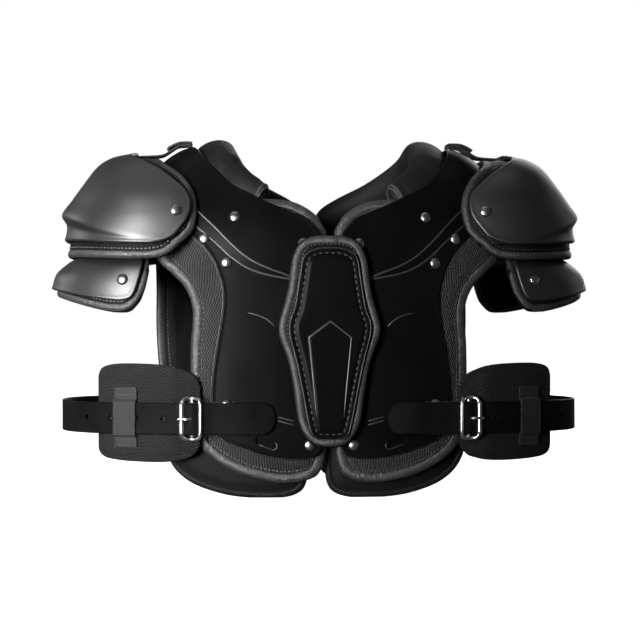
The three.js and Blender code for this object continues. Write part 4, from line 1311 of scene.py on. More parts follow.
@dataclass
class ChestShell:
    """Chest plate, shoulder arch and back plate of one side, with its low relief."""

    side: Side
    finishes: Finishes
    wall: float = 3.0
    step: float = 0.9
    upper_line: tuple = ((28, 197), (36, 198.5), (45, 202), (62, 208.5), (77, 217), (91, 229.5),
                         (100, 239), (112, 251), (130, 268))
    lower_line: tuple = ((28, 196), (36, 196.5), (45, 198), (62, 201.5), (77, 207.5), (91, 217.5),
                         (100, 226), (112, 237), (130, 252))
    crease: tuple = ((75, 166.5), (65, 164), (57, 160), (50.5, 154))
    foot_lines: tuple = (((48, 73.5), (33, 69.5)), ((48, 70.2), (33, 66.2)))
    slot: tuple = (58.5, 50.0, 19.5, 6.0, 0.38)

    def relief(self, points: Array) -> Array:
        """Height of the moulded relief at places of the chest.

        Args:
            points: places on the carrier.

        Returns:
            One height for each place.
        """
        x, z = np.abs(points[..., 0]), points[..., 2]
        upper = np.interp(x, *np.array(self.upper_line).T)
        lower = np.interp(x, *np.array(self.lower_line).T)
        rise = np.clip((z - lower) / np.maximum(upper - lower, 0.8), 0, 1)
        height = self.step * smooth(26, 60, x) * rise
        spot = np.stack([x, z], axis=-1)
        near = distance_to_path(spot, np.array(self.crease))
        height -= 0.35 * np.exp(-((near / 1.5) ** 2))
        return np.where(points[..., 1] < 0, height * smooth(320, 285, z), 0)

    def build(self) -> None:
        """Makes the shell with its slot, the dark sheet of painted shade behind the slot, and the raised
        lines with their painted highlight.
        """
        patch = torso_patch(SHELL_FRONT, SHELL_BACK, self.side, 72, 2.25, back_share=0.45)
        lift = rounded_lift(patch.rim_distance, self.wall / 2, 1.3)
        lip = 0.35 * np.exp(-(((patch.rim_distance - 2.2) / 1.4) ** 2))
        middle = -self.wall / 2
        piece = patch.solid(f"body_moulding_{self.side.word}",
                            lift + middle + lip + self.relief(patch.points), middle - lift)
        self.cut_slot(piece)
        # The dark sheet behind the slot is painted shade that makes the slot read black.
        self.slot_flap()
        dressed(piece, self.finishes.plastic, [f"body_shell_{self.side.word}"])
        lines = [self.line(path, 1.0, 0.7) for path in (self.upper_line, self.lower_line)]
        lines += [self.line(path, 0.8, 0.55) for path in (*self.foot_lines, self.crease)]
        lines += [edge_line(patch, -0.35), self.slot_lip()]
        # The raised lines are real moulding. Dressing them in the lighter, glossier cap plastic instead of
        # the shell's own paints a highlight on them.
        dressed(joined(f"body_lines_{self.side.word}", lines), self.finishes.cap_plastic)

    def line(self, path: Sequence, half_width: float, rise: float) -> bpy.types.Object:
        """A raised line on the plate."""
        return moulded_line(path, self.side.value, self.relief, half_width, rise)

    def slot_lip(self) -> bpy.types.Object:
        """The rolled edge round the lower end of the slot."""
        reach, height, length, width, _ = self.slot
        turn, half = np.linspace(1.6, 4.7, 14), width / 2 + 0.4
        x = np.append(half * np.cos(turn) - (length - width) / 2, length * 0.3)
        z = np.append(half * np.sin(turn), -half)
        x, z = self.slanted(x, z)
        return self.line(np.stack([reach + x, height + z], axis=-1), 0.55, 0.45)

    def slanted(self, x: Array, z: Array) -> tuple:
        """Reach and height off the slot's middle, turned by its slant."""
        cosine, sine = math.cos(self.slot[4]), math.sin(self.slot[4])
        return x * cosine - z * sine, x * sine + z * cosine

    def slot_flap(self) -> None:
        """A thin dark sheet behind the slot: painted shade that makes the slot read black."""
        reach, height, length, width, slant = self.slot
        share = np.linspace(-0.5, 0.5, 12) * (length + 9)
        turn = TORSO.turn(height + share * math.sin(slant), Face.CHEST)
        x = self.side.value * (reach + share * math.cos(slant))
        normal = TORSO.normal(x, turn)
        places = TORSO.point(x, turn) - normal * (self.wall + 0.28)
        across = unit(np.cross(normal, np.gradient(places, axis=0)))
        shade_sheet = strip(f"slot_flap_{self.side.word}", places, across, normal,
                     np.full(12, width * 1.3), 0.2, 6)
        dressed(shade_sheet, self.finishes.plastic)

    def cut_slot(self, piece: bpy.types.Object) -> None:
        """Cuts the slanted slot through the plate."""
        reach, height, length, width, _ = self.slot
        count = 32
        turn = np.linspace(0, 2 * math.pi, count, endpoint=False)
        x = width / 2 * np.cos(turn) + np.sign(np.cos(turn)) * (length - width) / 2
        x, z = self.slanted(x, width / 2 * np.sin(turn))
        depth = -float(TORSO.depth(np.array(reach)))
        rings = [np.stack([self.side.value * (x + reach), np.full_like(x, depth + d), z + height], axis=-1)
                 for d in (-8, 8)]
        faces = [[k, (k + 1) % count, count + (k + 1) % count, count + k] for k in range(count)]
        faces += [list(range(count))[::-1], list(range(count, 2 * count))]
        cut_by(piece, make_mesh("slot_cutter", np.vstack(rings), faces))


@dataclass
class BodyPad:
    """The mesh pad that lines the shell, and the lining pad behind its foot."""

    side: Side
    finishes: Finishes
    near: float = -4.0
    thickness: float = 10.0
    lining_thickness: float = 8.0
    lining_shift: float = -12.0

    def build(self) -> None:
        """Makes the pad, its tape and stitches, and the lining pad."""
        patch = torso_patch(PAD_FRONT, PAD_BACK, self.side, 50, 3.8)
        pad = PaddedSheet(f"mesh_pad_{self.side.word}", patch,
                          PadCut(self.near, self.near - self.thickness, band=9.4, crown=0.6), self.finishes)
        pad.body(self.finishes.mesh, [f"body_pad_{self.side.word}"], self.finishes.lining)
        pad.binding()
        pad.stitching()
        near = self.near - self.thickness - 1.0
        patch = torso_patch(LINING_ROWS, (), self.side, 56, 2.6, self.lining_shift)
        lining = PaddedSheet(f"foot_pad_{self.side.word}", patch,
                             PadCut(near, near - self.lining_thickness, edge_half=2.0, band=6.0, crown=0.4),
                             self.finishes, "lining_fabric", self.finishes.dark_tape)
        lining.body(self.finishes.lining, [f"lining_pad_{self.side.word}"])
        lining.binding()


# Collar


@dataclass
class CollarRoll:
    """The padded roll along the neck edge."""

    side: Side
    finishes: Finishes
    half_width: float = 17.0
    tilt: float = 0.26
    rows: tuple = (
        (-1, 0.580, 0.834, 0.38, 0.62, 0.56, 0.38), (-1, 0.620, 0.841, 0.42, 0.68, 0.74, 0.52),
        (-1, 0.680, 0.851, 0.46, 0.70, 0.86, 0.58), (-1, 0.800, 0.874, 0.50, 0.66, 0.96, 0.62),
        (-1, 0.920, 0.911, 0.62, 0.66, 1.04, 0.66), (-1, 1.020, 0.951, 0.80, 0.62, 1.14, 0.74),
        (-1, 1.111, 1.000, 1.06, 0.58, 1.20, 0.80), (1, 1.040, 0.975, 0.94, 0.60, 1.14, 0.76),
        (1, 0.920, 0.943, 0.74, 0.66, 1.04, 0.70), (1, 0.759, 0.907, 0.56, 0.66, 0.96, 0.64),
        (1, 0.580, 0.867, 0.50, 0.66, 0.92, 0.62), (1, 0.352, 0.824, 0.50, 0.66, 0.90, 0.60),
        (1, 0.170, 0.791, 0.46, 0.64, 0.80, 0.54), (1, 0.075, 0.774, 0.40, 0.60, 0.50, 0.36),
    )

    def frames(self, parts: int) -> tuple:
        """Centres, wide and thick directions and half sizes along the roll.

        Args:
            parts: rows for each row of the table.

        Returns:
            Five tables of one row for each place.
        """
        edge, normal = [], []
        for face, reach, height, *_ in self.rows:
            turn = TORSO.turn(height * TORSO.crest, Face(face))
            at = np.array(reach * TORSO.shell_reach)
            edge.append(TORSO.point(at, turn))
            normal.append(TORSO.normal(at, turn))
        edge, normal = np.array(edge), np.array(normal)
        ahead = unit(np.gradient(edge, axis=0))
        inward = unit(np.cross(normal, ahead))
        inward *= np.where(inward[:, :1] > 0, -1, 1)
        table = np.array([row[3:] for row in self.rows])
        centre = edge + inward * table[:, :1] * self.half_width - normal * table[:, 1:2] * self.half_width
        wide = inward * math.cos(self.tilt) + normal * math.sin(self.tilt)
        whole = fine(np.hstack([centre, wide, normal, table[:, 2:]]), parts)
        centre, wide = whole[:, :3], unit(whole[:, 3:6])
        heading = unit(np.gradient(centre, axis=0))
        thick = unit(np.cross(wide, heading))
        return centre, wide, thick, whole[:, 9] * self.half_width, whole[:, 10] * self.half_width

    def build(self) -> None:
        """Makes the roll with its fold ring."""
        sides = 40
        centre, wide, thick, half_wide, half_thick = self.frames(8)
        count = len(centre)
        turn = np.linspace(0, 2 * math.pi, sides, endpoint=False)
        share = np.linspace(0, 1, count)
        end = np.sqrt(np.clip(1 - (np.abs(share * 2 - 1)) ** 14, 0.0, 1))
        pinches = [0.05 * np.exp(-(((share - seam) / 0.006) ** 2)) for seam in (0.13, 0.155)]
        scale = (end * (1 - pinches[0] - pinches[1]))[:, None, None]
        ring = (centre[:, None] + scale * (wide[:, None] * (half_wide[:, None] * np.cos(turn))[..., None]
                + thick[:, None] * (half_thick[:, None] * np.sin(turn))[..., None]))
        ring[..., 0] *= self.side.value
        number = np.arange(count * sides).reshape(count, sides)
        following = np.roll(number, -1, axis=1)
        faces = np.stack([number[:-1], following[:-1], following[1:], number[1:]], axis=-1)
        faces = faces.reshape(-1, 4).tolist() + [number[0].tolist(), number[-1].tolist()]
        run = run_along(centre)[:, None]
        uv = np.stack(np.broadcast_arrays(turn[None] * self.half_width, run), axis=-1).reshape(-1, 2)
        piece = make_mesh(f"collar_roll_{self.side.word}", ring.reshape(-1, 3), faces, uv)
        dressed(piece, self.finishes.collar, [f"neck_pad_{self.side.word}"])
        cuffs = []
        for row in (int(count * 0.05), int(count * 0.085)):
            out = unit(ring[row] - ring[row].mean(axis=0))
            along = unit(ring[row + 1].mean(axis=0) - ring[row - 1].mean(axis=0))
            along = np.broadcast_to(along, out.shape)
            cuffs.append(tube("cuff", ring[row] + out * 0.3, out, along, 1.3, 1.9, 10))
        dressed(joined(f"collar_cuff_{self.side.word}", cuffs), self.finishes.tape)


# Caps


EPAULET = Cap(150, 93, 120, 322, (
    (1.012, 0.683, 1.000, 0.665), (0.974, 0.724, 1.000, 0.708), (0.950, 0.768, 0.998, 0.716),
    (1.000, 0.801, 0.992, 0.736), (0.903, 0.842, 0.962, 0.794), (0.796, 0.885, 0.898, 0.856),
    (0.656, 0.938, 0.767, 0.913), (0.527, 0.964, 0.608, 0.948), (0.398, 0.975, 0.433, 0.968),
    (0.237, 0.983, 0.242, 0.980), (0.032, 0.988, 0.025, 0.986)))
CUP = Cap(150, 103, 110, 232, (
    (1.000, 0.780, 1.000, 0.709), (1.000, 0.797, 1.000, 0.733), (0.990, 0.823, 1.000, 0.772),
    (0.951, 0.875, 0.982, 0.836), (0.845, 0.918, 0.955, 0.892), (0.750, 0.946, 0.905, 0.922),
    (0.700, 1.000, 0.850, 0.962)))
EPAULET_SHELL_EDGE = (
    (1.0, -0.118), (1.35, -0.060), (1.9, -0.010), (2.5, 0.060), (3.2, 0.150), (3.75, 0.236),
    (4.3, 0.270), (5.0, 0.226), (6.0, 0.010), (7.0, -0.190), (8.0, -0.290), (9.0, -0.230))
EPAULET_PAD_EDGE = (
    (0.0, -0.172), (0.3, 0.040), (1.0, 0.170), (2.0, 0.215), (3.0, 0.300), (3.6, 0.345), (4.3, 0.366),
    (5.0, 0.345), (6.0, 0.231), (7.0, 0.097), (8.0, 0.022), (9.0, 0.000), (10.0, 0.000))
CUP_SHELL_EDGE = (
    (1.7, -0.388), (1.9, -0.301), (2.3, -0.252), (3.0, -0.214), (4.0, -0.184), (5.0, -0.175),
    (6.0, -0.175))
CUP_PAD_EDGE = (
    (0.0, -0.485), (0.4, -0.340), (1.0, -0.272), (2.0, -0.204), (3.0, -0.150), (4.0, -0.126),
    (5.0, -0.126), (6.0, -0.126))


def cap_patch(cap: Cap, edge: Sequence, side: Side, columns: int, pitch: float) -> Patch:
    """A patch of a cap between its neck-side edges.

    Args:
        cap: the dome.
        edge: row positions with the edge's distance inside the axis.
        side: which half.
        columns: grid columns.
        pitch: distance between grid rows.

    Returns:
        The patch.
    """

    def edges(values: Array) -> Array:
        """Places at the edge and in the middle for rows of the table."""
        limit = cap.edge_angle(values[:, 0], values[:, 1])
        return np.stack([cap.point(values[:, 0], limit), cap.point(values[:, 0], limit * 0)], axis=1)

    table = spread(edge, edges, pitch)
    limit = cap.edge_angle(table[:, 0], table[:, 1])
    angle = limit[:, None] * (1 - 2 * even_columns(columns)[None])
    position = np.broadcast_to(table[:, :1], angle.shape)
    mirror = np.array([side.value, 1, 1])
    return Patch(cap.point(position, angle) * mirror, cap.normal(position, angle) * mirror)


@dataclass
class ShoulderCap:
    """One cap: its plastic shell and the bound pad under it, faced with lining nylon."""

    word: str
    cap: Cap
    shell_edge: tuple
    pad_edge: tuple
    pad: float
    side: Side
    finishes: Finishes
    gap: float = 2.1

    def build(self) -> None:
        """Makes shell, pad, tape and stitches."""
        wall = self.cap.wall
        patch = cap_patch(self.cap, self.shell_edge, self.side, 124, 1.8)
        lift = rounded_lift(patch.rim_distance, wall / 2, 1.3)
        lip = 0.3 * np.exp(-(((patch.rim_distance - 2.2) / 1.4) ** 2))
        shell = patch.solid(f"{self.word}_moulding_{self.side.word}", lift - wall / 2 + lip,
                            -lift - wall / 2)
        dressed(shell, self.finishes.cap_plastic, [f"{self.word}_shell_{self.side.word}"])
        near = -wall - self.gap
        patch = cap_patch(self.cap, self.pad_edge, self.side, 84, 2.7)
        pad = PaddedSheet(f"{self.word}_mesh_{self.side.word}", patch,
                          PadCut(near, near - self.pad, edge_half=3.0, band=8.0, crown=0.2), self.finishes)
        pad.body(self.finishes.lining, [f"{self.word}_pad_{self.side.word}"])
        pad.binding()
        pad.stitching()


# Sternum


STERNUM_PAD_ROWS = (
    (0.000, 0.174), (0.011, 0.326), (0.032, 0.413), (0.077, 0.537), (0.139, 0.624), (0.246, 0.674),
    (0.342, 0.739), (0.417, 0.804), (0.508, 0.950), (0.567, 1.000), (0.631, 0.935), (0.706, 0.848),
    (0.775, 0.783), (0.872, 0.746), (0.930, 0.674), (0.968, 0.576), (0.989, 0.435), (1.000, 0.239))
STERNUM_PLATE_ROWS = (
    (0.000, 0.247), (0.006, 0.329), (0.021, 0.433), (0.086, 0.529), (0.215, 0.644), (0.392, 0.803),
    (0.581, 1.000), (0.699, 0.858), (0.847, 0.748), (0.947, 0.671), (0.976, 0.548), (0.994, 0.356),
    (1.000, 0.219))


@dataclass
class SternumGuard:
    """The middle plate on its bound pad."""

    finishes: Finishes
    shift: float = -2.5
    stand_off: float = 2.5
    thickness: float = 8.0
    wall: float = 3.0
    arrow: tuple = ((-11.9, 74), (-18.6, 144.5), (0, 158.7), (18.6, 144.5), (11.9, 74))

    def patch(self, rows: Sequence, bottom: float, top: float, half_width: float,
              columns: int) -> Patch:
        """A patch between the guard's two edges.

        Args:
            rows: shares of height and half width.
            bottom: height of its foot.
            top: height of its top.
            half_width: its greatest half width.
            columns: grid columns.

        Returns:
            The patch.
        """

        def edges(values: Array) -> Array:
            """Half width and height of the edge for rows of the table."""
            height, half = bottom + values[:, 0] * (top - bottom), values[:, 1] * half_width
            return np.stack([np.stack([half, height], axis=-1)], axis=1)

        table = spread(rows, edges, 1.7)
        turn = TORSO.turn(bottom + table[:, 0] * (top - bottom), Face.CHEST)[:, None]
        reach = table[:, 1:] * half_width * (2 * even_columns(columns)[None] - 1)
        turn = np.broadcast_to(turn, reach.shape)
        return Patch(TORSO.point(reach, turn), TORSO.normal(reach, turn))

    def relief(self, points: Array) -> Array:
        """The raised arrow panel of the plate."""
        x, z = np.abs(points[..., 0]), points[..., 2]
        roof = ((159 - z) * 18.8 - x * 14.0) / math.hypot(18.8, 14.0)
        flank = 11.6 + (z - 76) * (18.8 - 11.6) / 69 - x
        return smooth(-1.4, 1.4, np.minimum(roof, flank)) * smooth(60, 84, z)

    def build(self) -> None:
        """Makes the pad and the plate."""
        move = np.array([self.shift, 0, 0])
        patch = self.patch(STERNUM_PAD_ROWS, 47, 234, 46, 54)
        patch.points = patch.points + move
        near = self.stand_off + self.thickness
        cut = PadCut(near, self.stand_off, edge_half=3.2, band=8.0, swell=3.0, crown=0.0, seam=0.2)
        pad = PaddedSheet("sternum_mesh", patch, cut, self.finishes)
        pad.body(self.finishes.lining, ["sternum_pad"])
        pad.binding()
        pad.stitching()
        patch = self.patch(STERNUM_PLATE_ROWS, 53.5, 223, 36.5, 66)
        relief = self.relief(patch.points)
        patch.points = patch.points + move
        middle = near + GAP + self.wall / 2
        lift = rounded_lift(patch.rim_distance, self.wall / 2, 1.4)
        channel = 0.5 * np.exp(-(((patch.rim_distance - 5.0) / 1.0) ** 2))
        dish = 0.9 * smooth(5.5, 9.5, patch.rim_distance)
        plate = patch.solid("sternum_moulding", middle + lift - channel + dish + relief, middle - lift)
        level = middle + self.wall / 2 + 0.9
        edge = moulded_line(self.arrow, 1.0, lambda base: level + self.relief(base), 1.0, 0.8, sharp=True)
        edge.data.transform(Matrix.Translation(Vector(move * MM)))
        dressed(plate, self.finishes.plastic, ["sternum_plate"])
        # The arrow and edge lines are real moulding. The lighter, glossier cap plastic on them instead of
        # the plate's own paints a highlight on them.
        lines = joined("sternum_lines", [edge, edge_line(patch, middle + self.wall / 2 - 0.35)])
        dressed(lines, self.finishes.cap_plastic)
        places, normals, inward = patch.rim_frame(2.0, 4)
        path = places + inward * 5.0 + normals * (near + GAP + self.wall - 0.1)
        self.finishes.sewn("sternum_stitches", [path], length=3.4, pitch=5.6, thread=0.6)


# Straps, belt and buckle


SIDE_PAD_ROWS = (
    (0.500, 0.21, 0.77, 0.13), (0.510, 0.16, 0.83, 0.22), (0.525, 0.11, 0.88, 0.31),
    (0.541, 0.08, 0.91, 0.42), (0.567, 0.06, 0.94, 0.60), (0.600, 0.04, 0.97, 1.00),
    (0.650, 0.03, 0.99, 1.00), (0.720, 0.03, 1.00, 1.00), (0.800, 0.04, 1.00, 1.00),
    (0.852, 0.06, 0.98, 1.00), (0.876, 0.10, 0.94, 1.00), (0.885, 0.16, 0.87, 1.00),
)


def strip(name: str, places: Array, across: Array, out: Array, half_width: Array, thickness: float,
          columns: int = 15) -> bpy.types.Object:
    """A flat strap with rounded edges along a path.

    Args:
        name: the piece's name.
        places: middle of the strap's under face.
        across: direction of its width at each place.
        out: direction of its thickness.
        half_width: half width at each place.
        thickness: thickness of the strap.
        columns: grid columns over the width.

    Returns:
        The strap.
    """
    share = 2 * even_columns(columns) - 1
    edge = np.clip((1 - np.abs(share)) * half_width[:, None] / (thickness * 0.5), 0, 1)
    bulge = thickness / 2 * np.sqrt(1 - (1 - edge) ** 2)
    middle = places[:, None] + across[:, None] * (share * half_width[:, None])[..., None]
    middle = middle + out[:, None] * (thickness / 2)
    top, below = (middle + out[:, None] * (sign * bulge)[..., None] for sign in (1, -1))
    rows, count = middle.shape[:2]
    number = np.arange(rows * count).reshape(rows, count)
    under = number + rows * count
    under[:, 0], under[:, -1] = number[:, 0], number[:, -1]
    faces = quads(number, False) + quads(under, True)
    for row, turn in ((0, True), (rows - 1, False)):
        loop = list(number[row]) + list(under[row][1:-1][::-1])
        faces.append(loop[::-1] if turn else loop)
    run = run_along(places)[:, None]
    uv = np.stack(np.broadcast_arrays(share * half_width[:, None], run), axis=-1).reshape(-1, 2)
    points = np.vstack([top.reshape(-1, 3), below.reshape(-1, 3)])
    return make_mesh(name, points, faces, np.vstack([uv, uv]))


@dataclass
class SideBelt:
    """Belt, buckle, keeper and side pad of one side."""

    side: Side
    finishes: Finishes
    height: float = 72.0
    width: float = 28.6
    thickness: float = 2.2
    tip_reach: float = 50.5
    end_reach: float = 80.0
    tip_lift: float = 1.0
    front_lift: float = 5.4
    side_lift: float = 7.5
    hole_pitch: float = 25.0
    holes: int = 5
    buckle_reach: float = 122.8
    buckle_half: tuple = (8.6, 18.2)
    rise: float = 12.0
    dip: float = 4.9
    bump: float = 3.5
    wire: float = 1.8
    bar: float = 1.6
    roller: float = 2.3
    pin: float = 1.35
    strap_reach: float = 86.0
    keeper_reach: float = 179.5
    pad_thickness: float = 6.7
    mirror: Array = field(init=False)
    near: float = field(init=False)

    def __post_init__(self) -> None:
        """Works out the buckle's place and the side's mirror."""
        self.mirror = np.array([self.side.value, 1, 1])
        self.near = float(TORSO.girdle_angle(self.buckle_reach, Face.CHEST))

    def lift(self, angle: Array) -> Array:
        """Lift of the belt's under face along the belt line.

        Args:
            angle: angle round the belt line.

        Returns:
            One lift for each angle.
        """
        base = TORSO.girdle(angle)
        away = np.linalg.norm(base - TORSO.girdle(np.array(self.near)), axis=-1)
        x, chest = base[..., 0], base[..., 1] < 0

        def ramp(low: float, high: float) -> Array:
            """Straight ramp over the reach."""
            return np.clip((x - low) / (high - low), 0, 1)

        reach = TORSO.shell_reach
        back = GAP + (self.side_lift - GAP) * ramp(reach, reach * 1.5)
        tip = self.tip_reach
        front = self.tip_lift + (self.front_lift - self.tip_lift) * ramp(tip, tip + 26)
        front = front + (self.side_lift - self.front_lift) * ramp(reach - 4, reach + 4)
        return np.where(chest, front + self.bump * np.exp(-((away / 6) ** 2)), back)

    def strap(self) -> None:
        """The belt with a round tip and eyelet holes."""
        first = float(TORSO.girdle_angle(self.tip_reach, Face.CHEST))
        last = float(TORSO.girdle_angle(self.end_reach, Face.BACK))
        angles = np.linspace(first, last, 1400)
        run = run_along(TORSO.girdle(angles))
        at = np.concatenate([np.linspace(0, 1, 22) ** 2 * 14, np.linspace(14, run[-1], 260)[1:]])
        angle = np.interp(at, run, angles)
        lift = self.lift(angle)
        kernel = np.hanning(9)
        lift = np.convolve(np.pad(lift, 4, mode="edge"), kernel / kernel.sum(), mode="valid")
        half = self.width / 2 * np.clip(1 - (1 - np.clip(at / 12.5, 0, 1)) ** 2.4, 0.02, 1) ** (1 / 2.4)
        places = TORSO.on_girdle(angle, lift, np.full_like(angle, self.height)) * self.mirror
        out = TORSO.girdle_normal(angle) * self.mirror
        up = np.broadcast_to([0.0, 0.0, 1.0], places.shape)
        piece = strip(f"belt_strap_{self.side.word}", places, up, out, half, self.thickness, 17)
        cutters, rims = [], []
        for i in range(1, self.holes):
            turn = np.array(TORSO.girdle_from(self.near, i * self.hole_pitch))
            normal = TORSO.girdle_normal(turn) * self.mirror
            centre = TORSO.on_girdle(turn, self.lift(turn), self.height) * self.mirror
            cutters.append(self.rod(centre - normal * 4, centre + normal * 8, 2.3))
            rims.append(self.ring(centre + normal * (self.thickness - 0.1), normal, 3.1, 0.75))
        cut_by(piece, joined("hole_cutter", cutters))
        dressed(piece, self.finishes.vinyl, [f"belt_{self.side.word}"])
        dressed(joined(f"belt_hole_rims_{self.side.word}", rims), self.finishes.vinyl)

    def rod(self, start: Array, end: Array, radius: float) -> bpy.types.Object:
        """A plain round level rod between two places."""
        path = np.linspace(start, end, 3)
        ahead = unit(end - start)
        side = unit(np.cross(ahead, [0.0, 0.0, 1.0]))
        up = np.broadcast_to(np.cross(ahead, side), path.shape)
        return tube("rod", path, up, np.broadcast_to(side, path.shape), radius, radius, 20, closed=False)

    def ring(self, centre: Array, normal: Array, radius: float, wire: float) -> bpy.types.Object:
        """A round wire ring about a normal."""
        up = np.array([0.0, 0.0, 1.0])
        side = unit(np.cross(up, normal))
        turn = np.linspace(0, 2 * math.pi, 24, endpoint=False)[:, None]
        arm = side * np.cos(turn) + up * np.sin(turn)
        out = np.broadcast_to(normal, arm.shape)
        return tube("ring", centre + arm * radius, out, arm, wire * 0.7, wire, 8)

    def at_buckle(self, along: Array, lift: Array, up: Array) -> Array:
        """Places beside the buckle.

        Args:
            along: distance along the belt.
            lift: distance outwards.
            up: height over the belt's middle.

        Returns:
            One place for each triple.
        """
        normal = TORSO.girdle_normal(np.array(self.near))
        tangent = np.array([-normal[1], normal[0], 0])
        base = TORSO.girdle(np.array(self.near))
        along, lift, up = (np.asarray(each, float)[..., None] for each in (along, lift, up))
        place = base + tangent * along + normal * lift + np.array([0, 0, 1.0]) * (up + self.height)
        return place * self.mirror

    def wire_along(self, name: str, path: Array, radius: float, closed: bool = False,
                   sides: int = 16) -> bpy.types.Object:
        """A round wire along millimetre places, with a carried frame.

        Args:
            name: the wire's name.
            path: its places.
            radius: its radius.
            closed: whether it is a ring.
            sides: corners of its section.

        Returns:
            The wire.
        """
        if closed:
            whole = np.vstack([path[-1:], path, path[:1]])
        else:
            whole = np.vstack([path[:1], path, path[-1:]])
        ahead = unit(whole[2:] - whole[:-2])
        side = unit(np.cross(ahead[0], [0.3, 0.9, 0.31]))
        across = []
        for heading in ahead:
            side = unit(side - heading * (side @ heading))
            across.append(side)
        across = np.array(across)
        return tube(name, path, np.cross(ahead, across), across, radius, radius, sides, closed)

    def buckle(self) -> None:
        """Frame, middle bar, prong and rivet strap of the buckle."""
        half_along, half_up = self.buckle_half
        turn = np.linspace(0, 2 * math.pi, 96, endpoint=False)
        power = 2 / 5.5
        along = half_along * np.sign(np.cos(turn)) * np.abs(np.cos(turn)) ** power
        up = half_up * np.sign(np.sin(turn)) * np.abs(np.sin(turn)) ** power
        lift = self.rise - self.dip * (1 - (along / half_along) ** 2)
        outline = resampled(self.at_buckle(along, lift, up), 1.6, closed=True)
        frame_wire = self.wire_along("frame", outline, self.wire, closed=True)
        up = np.linspace(-half_up, half_up, 12)
        places = self.at_buckle(np.zeros(12), np.full(12, self.rise - self.dip), up)
        bar = self.wire_along("bar", places, self.bar)
        up = np.linspace(-half_up + 3.2, half_up - 3.2, 10)
        places = self.at_buckle(np.full(10, half_along), np.full(10, self.rise), up)
        roller = self.wire_along("roller", places, self.roller, sides=20)
        piece = joined(f"buckle_wire_{self.side.word}", [frame_wire, bar, roller])
        dressed(piece, self.finishes.steel, [f"buckle_frame_{self.side.word}"])
        self.prong()
        self.buckle_strap()

    def prong(self) -> None:
        """The prong from the middle bar to the roller."""
        root = self.rise - self.dip + self.bar + GAP
        rest = self.rise + self.roller + GAP + 1.2
        path = fine([(-0.2, root - 1.0), (0, root + 2.2), (1.0, rest - 1.3), (3.0, rest - 0.2),
                     (5.6, rest), (9.0, rest), (11.2, rest - 0.4)], 6)
        places = self.at_buckle(path[:, 0], path[:, 1], np.zeros(len(path)))
        piece = self.wire_along(f"buckle_pin_{self.side.word}", places, self.pin)
        dressed(piece, self.finishes.steel, [f"buckle_prong_{self.side.word}"])

    def buckle_strap(self) -> None:
        """The short webbing strap that loops round the middle bar."""
        half = 0.75
        away = TORSO.girdle(TORSO.girdle_angle(self.strap_reach, Face.CHEST)) - TORSO.girdle(self.near)
        start = float(np.linalg.norm(away))
        edge = start - (TORSO.shell_reach - self.strap_reach)
        bar, loop = self.rise - self.dip, self.bar + GAP + half
        turn = np.radians([-90, -45, 0, 45, 90])
        path = [(-start, GAP + half), (-(start + edge) / 2, GAP + half), (-edge, GAP + half),
                (-edge * 0.6, 2.4), (-edge * 0.25, 3.7)]
        path += [(loop * math.cos(t), bar + loop * math.sin(t)) for t in turn]
        path += [(-edge * 0.16, bar + 1.8), (-edge * 0.36, bar - 0.9), (-edge * 0.62, bar - 3.2),
                 (-edge * 0.78, bar - 4.1)]
        path = fine(path, 6)
        ahead = unit(np.gradient(path, axis=0))
        angle = np.array([TORSO.girdle_from(self.near, a if abs(a) > 1e-4 else 1e-4) for a in path[:, 0]])
        places = TORSO.on_girdle(angle, path[:, 1], np.full(len(path), self.height)) * self.mirror
        normal = TORSO.girdle_normal(angle)
        tangent = np.stack([-normal[:, 1], normal[:, 0], np.zeros(len(angle))], axis=-1)
        out = (normal * ahead[:, :1] - tangent * ahead[:, 1:]) * self.mirror
        up = np.broadcast_to([0.0, 0.0, 1.0], places.shape)
        piece = strip(f"buckle_webbing_{self.side.word}", places - out * half, up, out,
                      np.full(len(path), 15.0), 2 * half)
        dressed(piece, self.finishes.webbing, [f"buckle_strap_{self.side.word}"])

    def keeper(self) -> None:
        """The webbing loop sewn over the belt."""
        middle = float(TORSO.girdle_angle(self.keeper_reach, Face.CHEST))
        flange, bridge = self.pad_thickness + GAP, self.side_lift + self.thickness + GAP
        low, high = self.height - 15.0, self.height + 15.0
        profile = fine([(flange, 46), (flange, low - 3), (flange + 0.3, low - 1.2),
                        (bridge - 0.3, low + 0.3), (bridge, low + 2), (bridge, high - 2),
                        (bridge - 0.3, high - 0.3), (flange + 0.3, high + 1.2), (flange, high + 3),
                        (flange, 100)], 5)
        places = TORSO.on_girdle(np.full(len(profile), middle), profile[:, 0], profile[:, 1]) * self.mirror
        normal = TORSO.girdle_normal(np.array(middle)) * self.mirror
        tangent = np.array([-normal[1], normal[0], 0])
        ahead = unit(np.gradient(places, axis=0))
        out = unit(np.cross(ahead, tangent))
        out *= np.sign(out @ normal)[:, None]
        piece = strip(f"keeper_loop_{self.side.word}", places, np.broadcast_to(tangent, places.shape),
                      out, np.full(len(profile), 11.5), 1.7)
        dressed(piece, self.finishes.webbing, [f"belt_keeper_{self.side.word}"])
        rows = []
        for base in (47.8, 53.0, 93.0, 98.2):
            at = TORSO.on_girdle(np.array([middle]), np.array([flange + 1.75]), np.array([base]))
            rows.append(at * self.mirror + tangent * np.linspace(-9.5, 9.5, 8)[:, None])
        self.finishes.sewn(f"keeper_stitches_{self.side.word}", rows, closed=False, length=2.0,
                           pitch=2.9, thread=0.4)

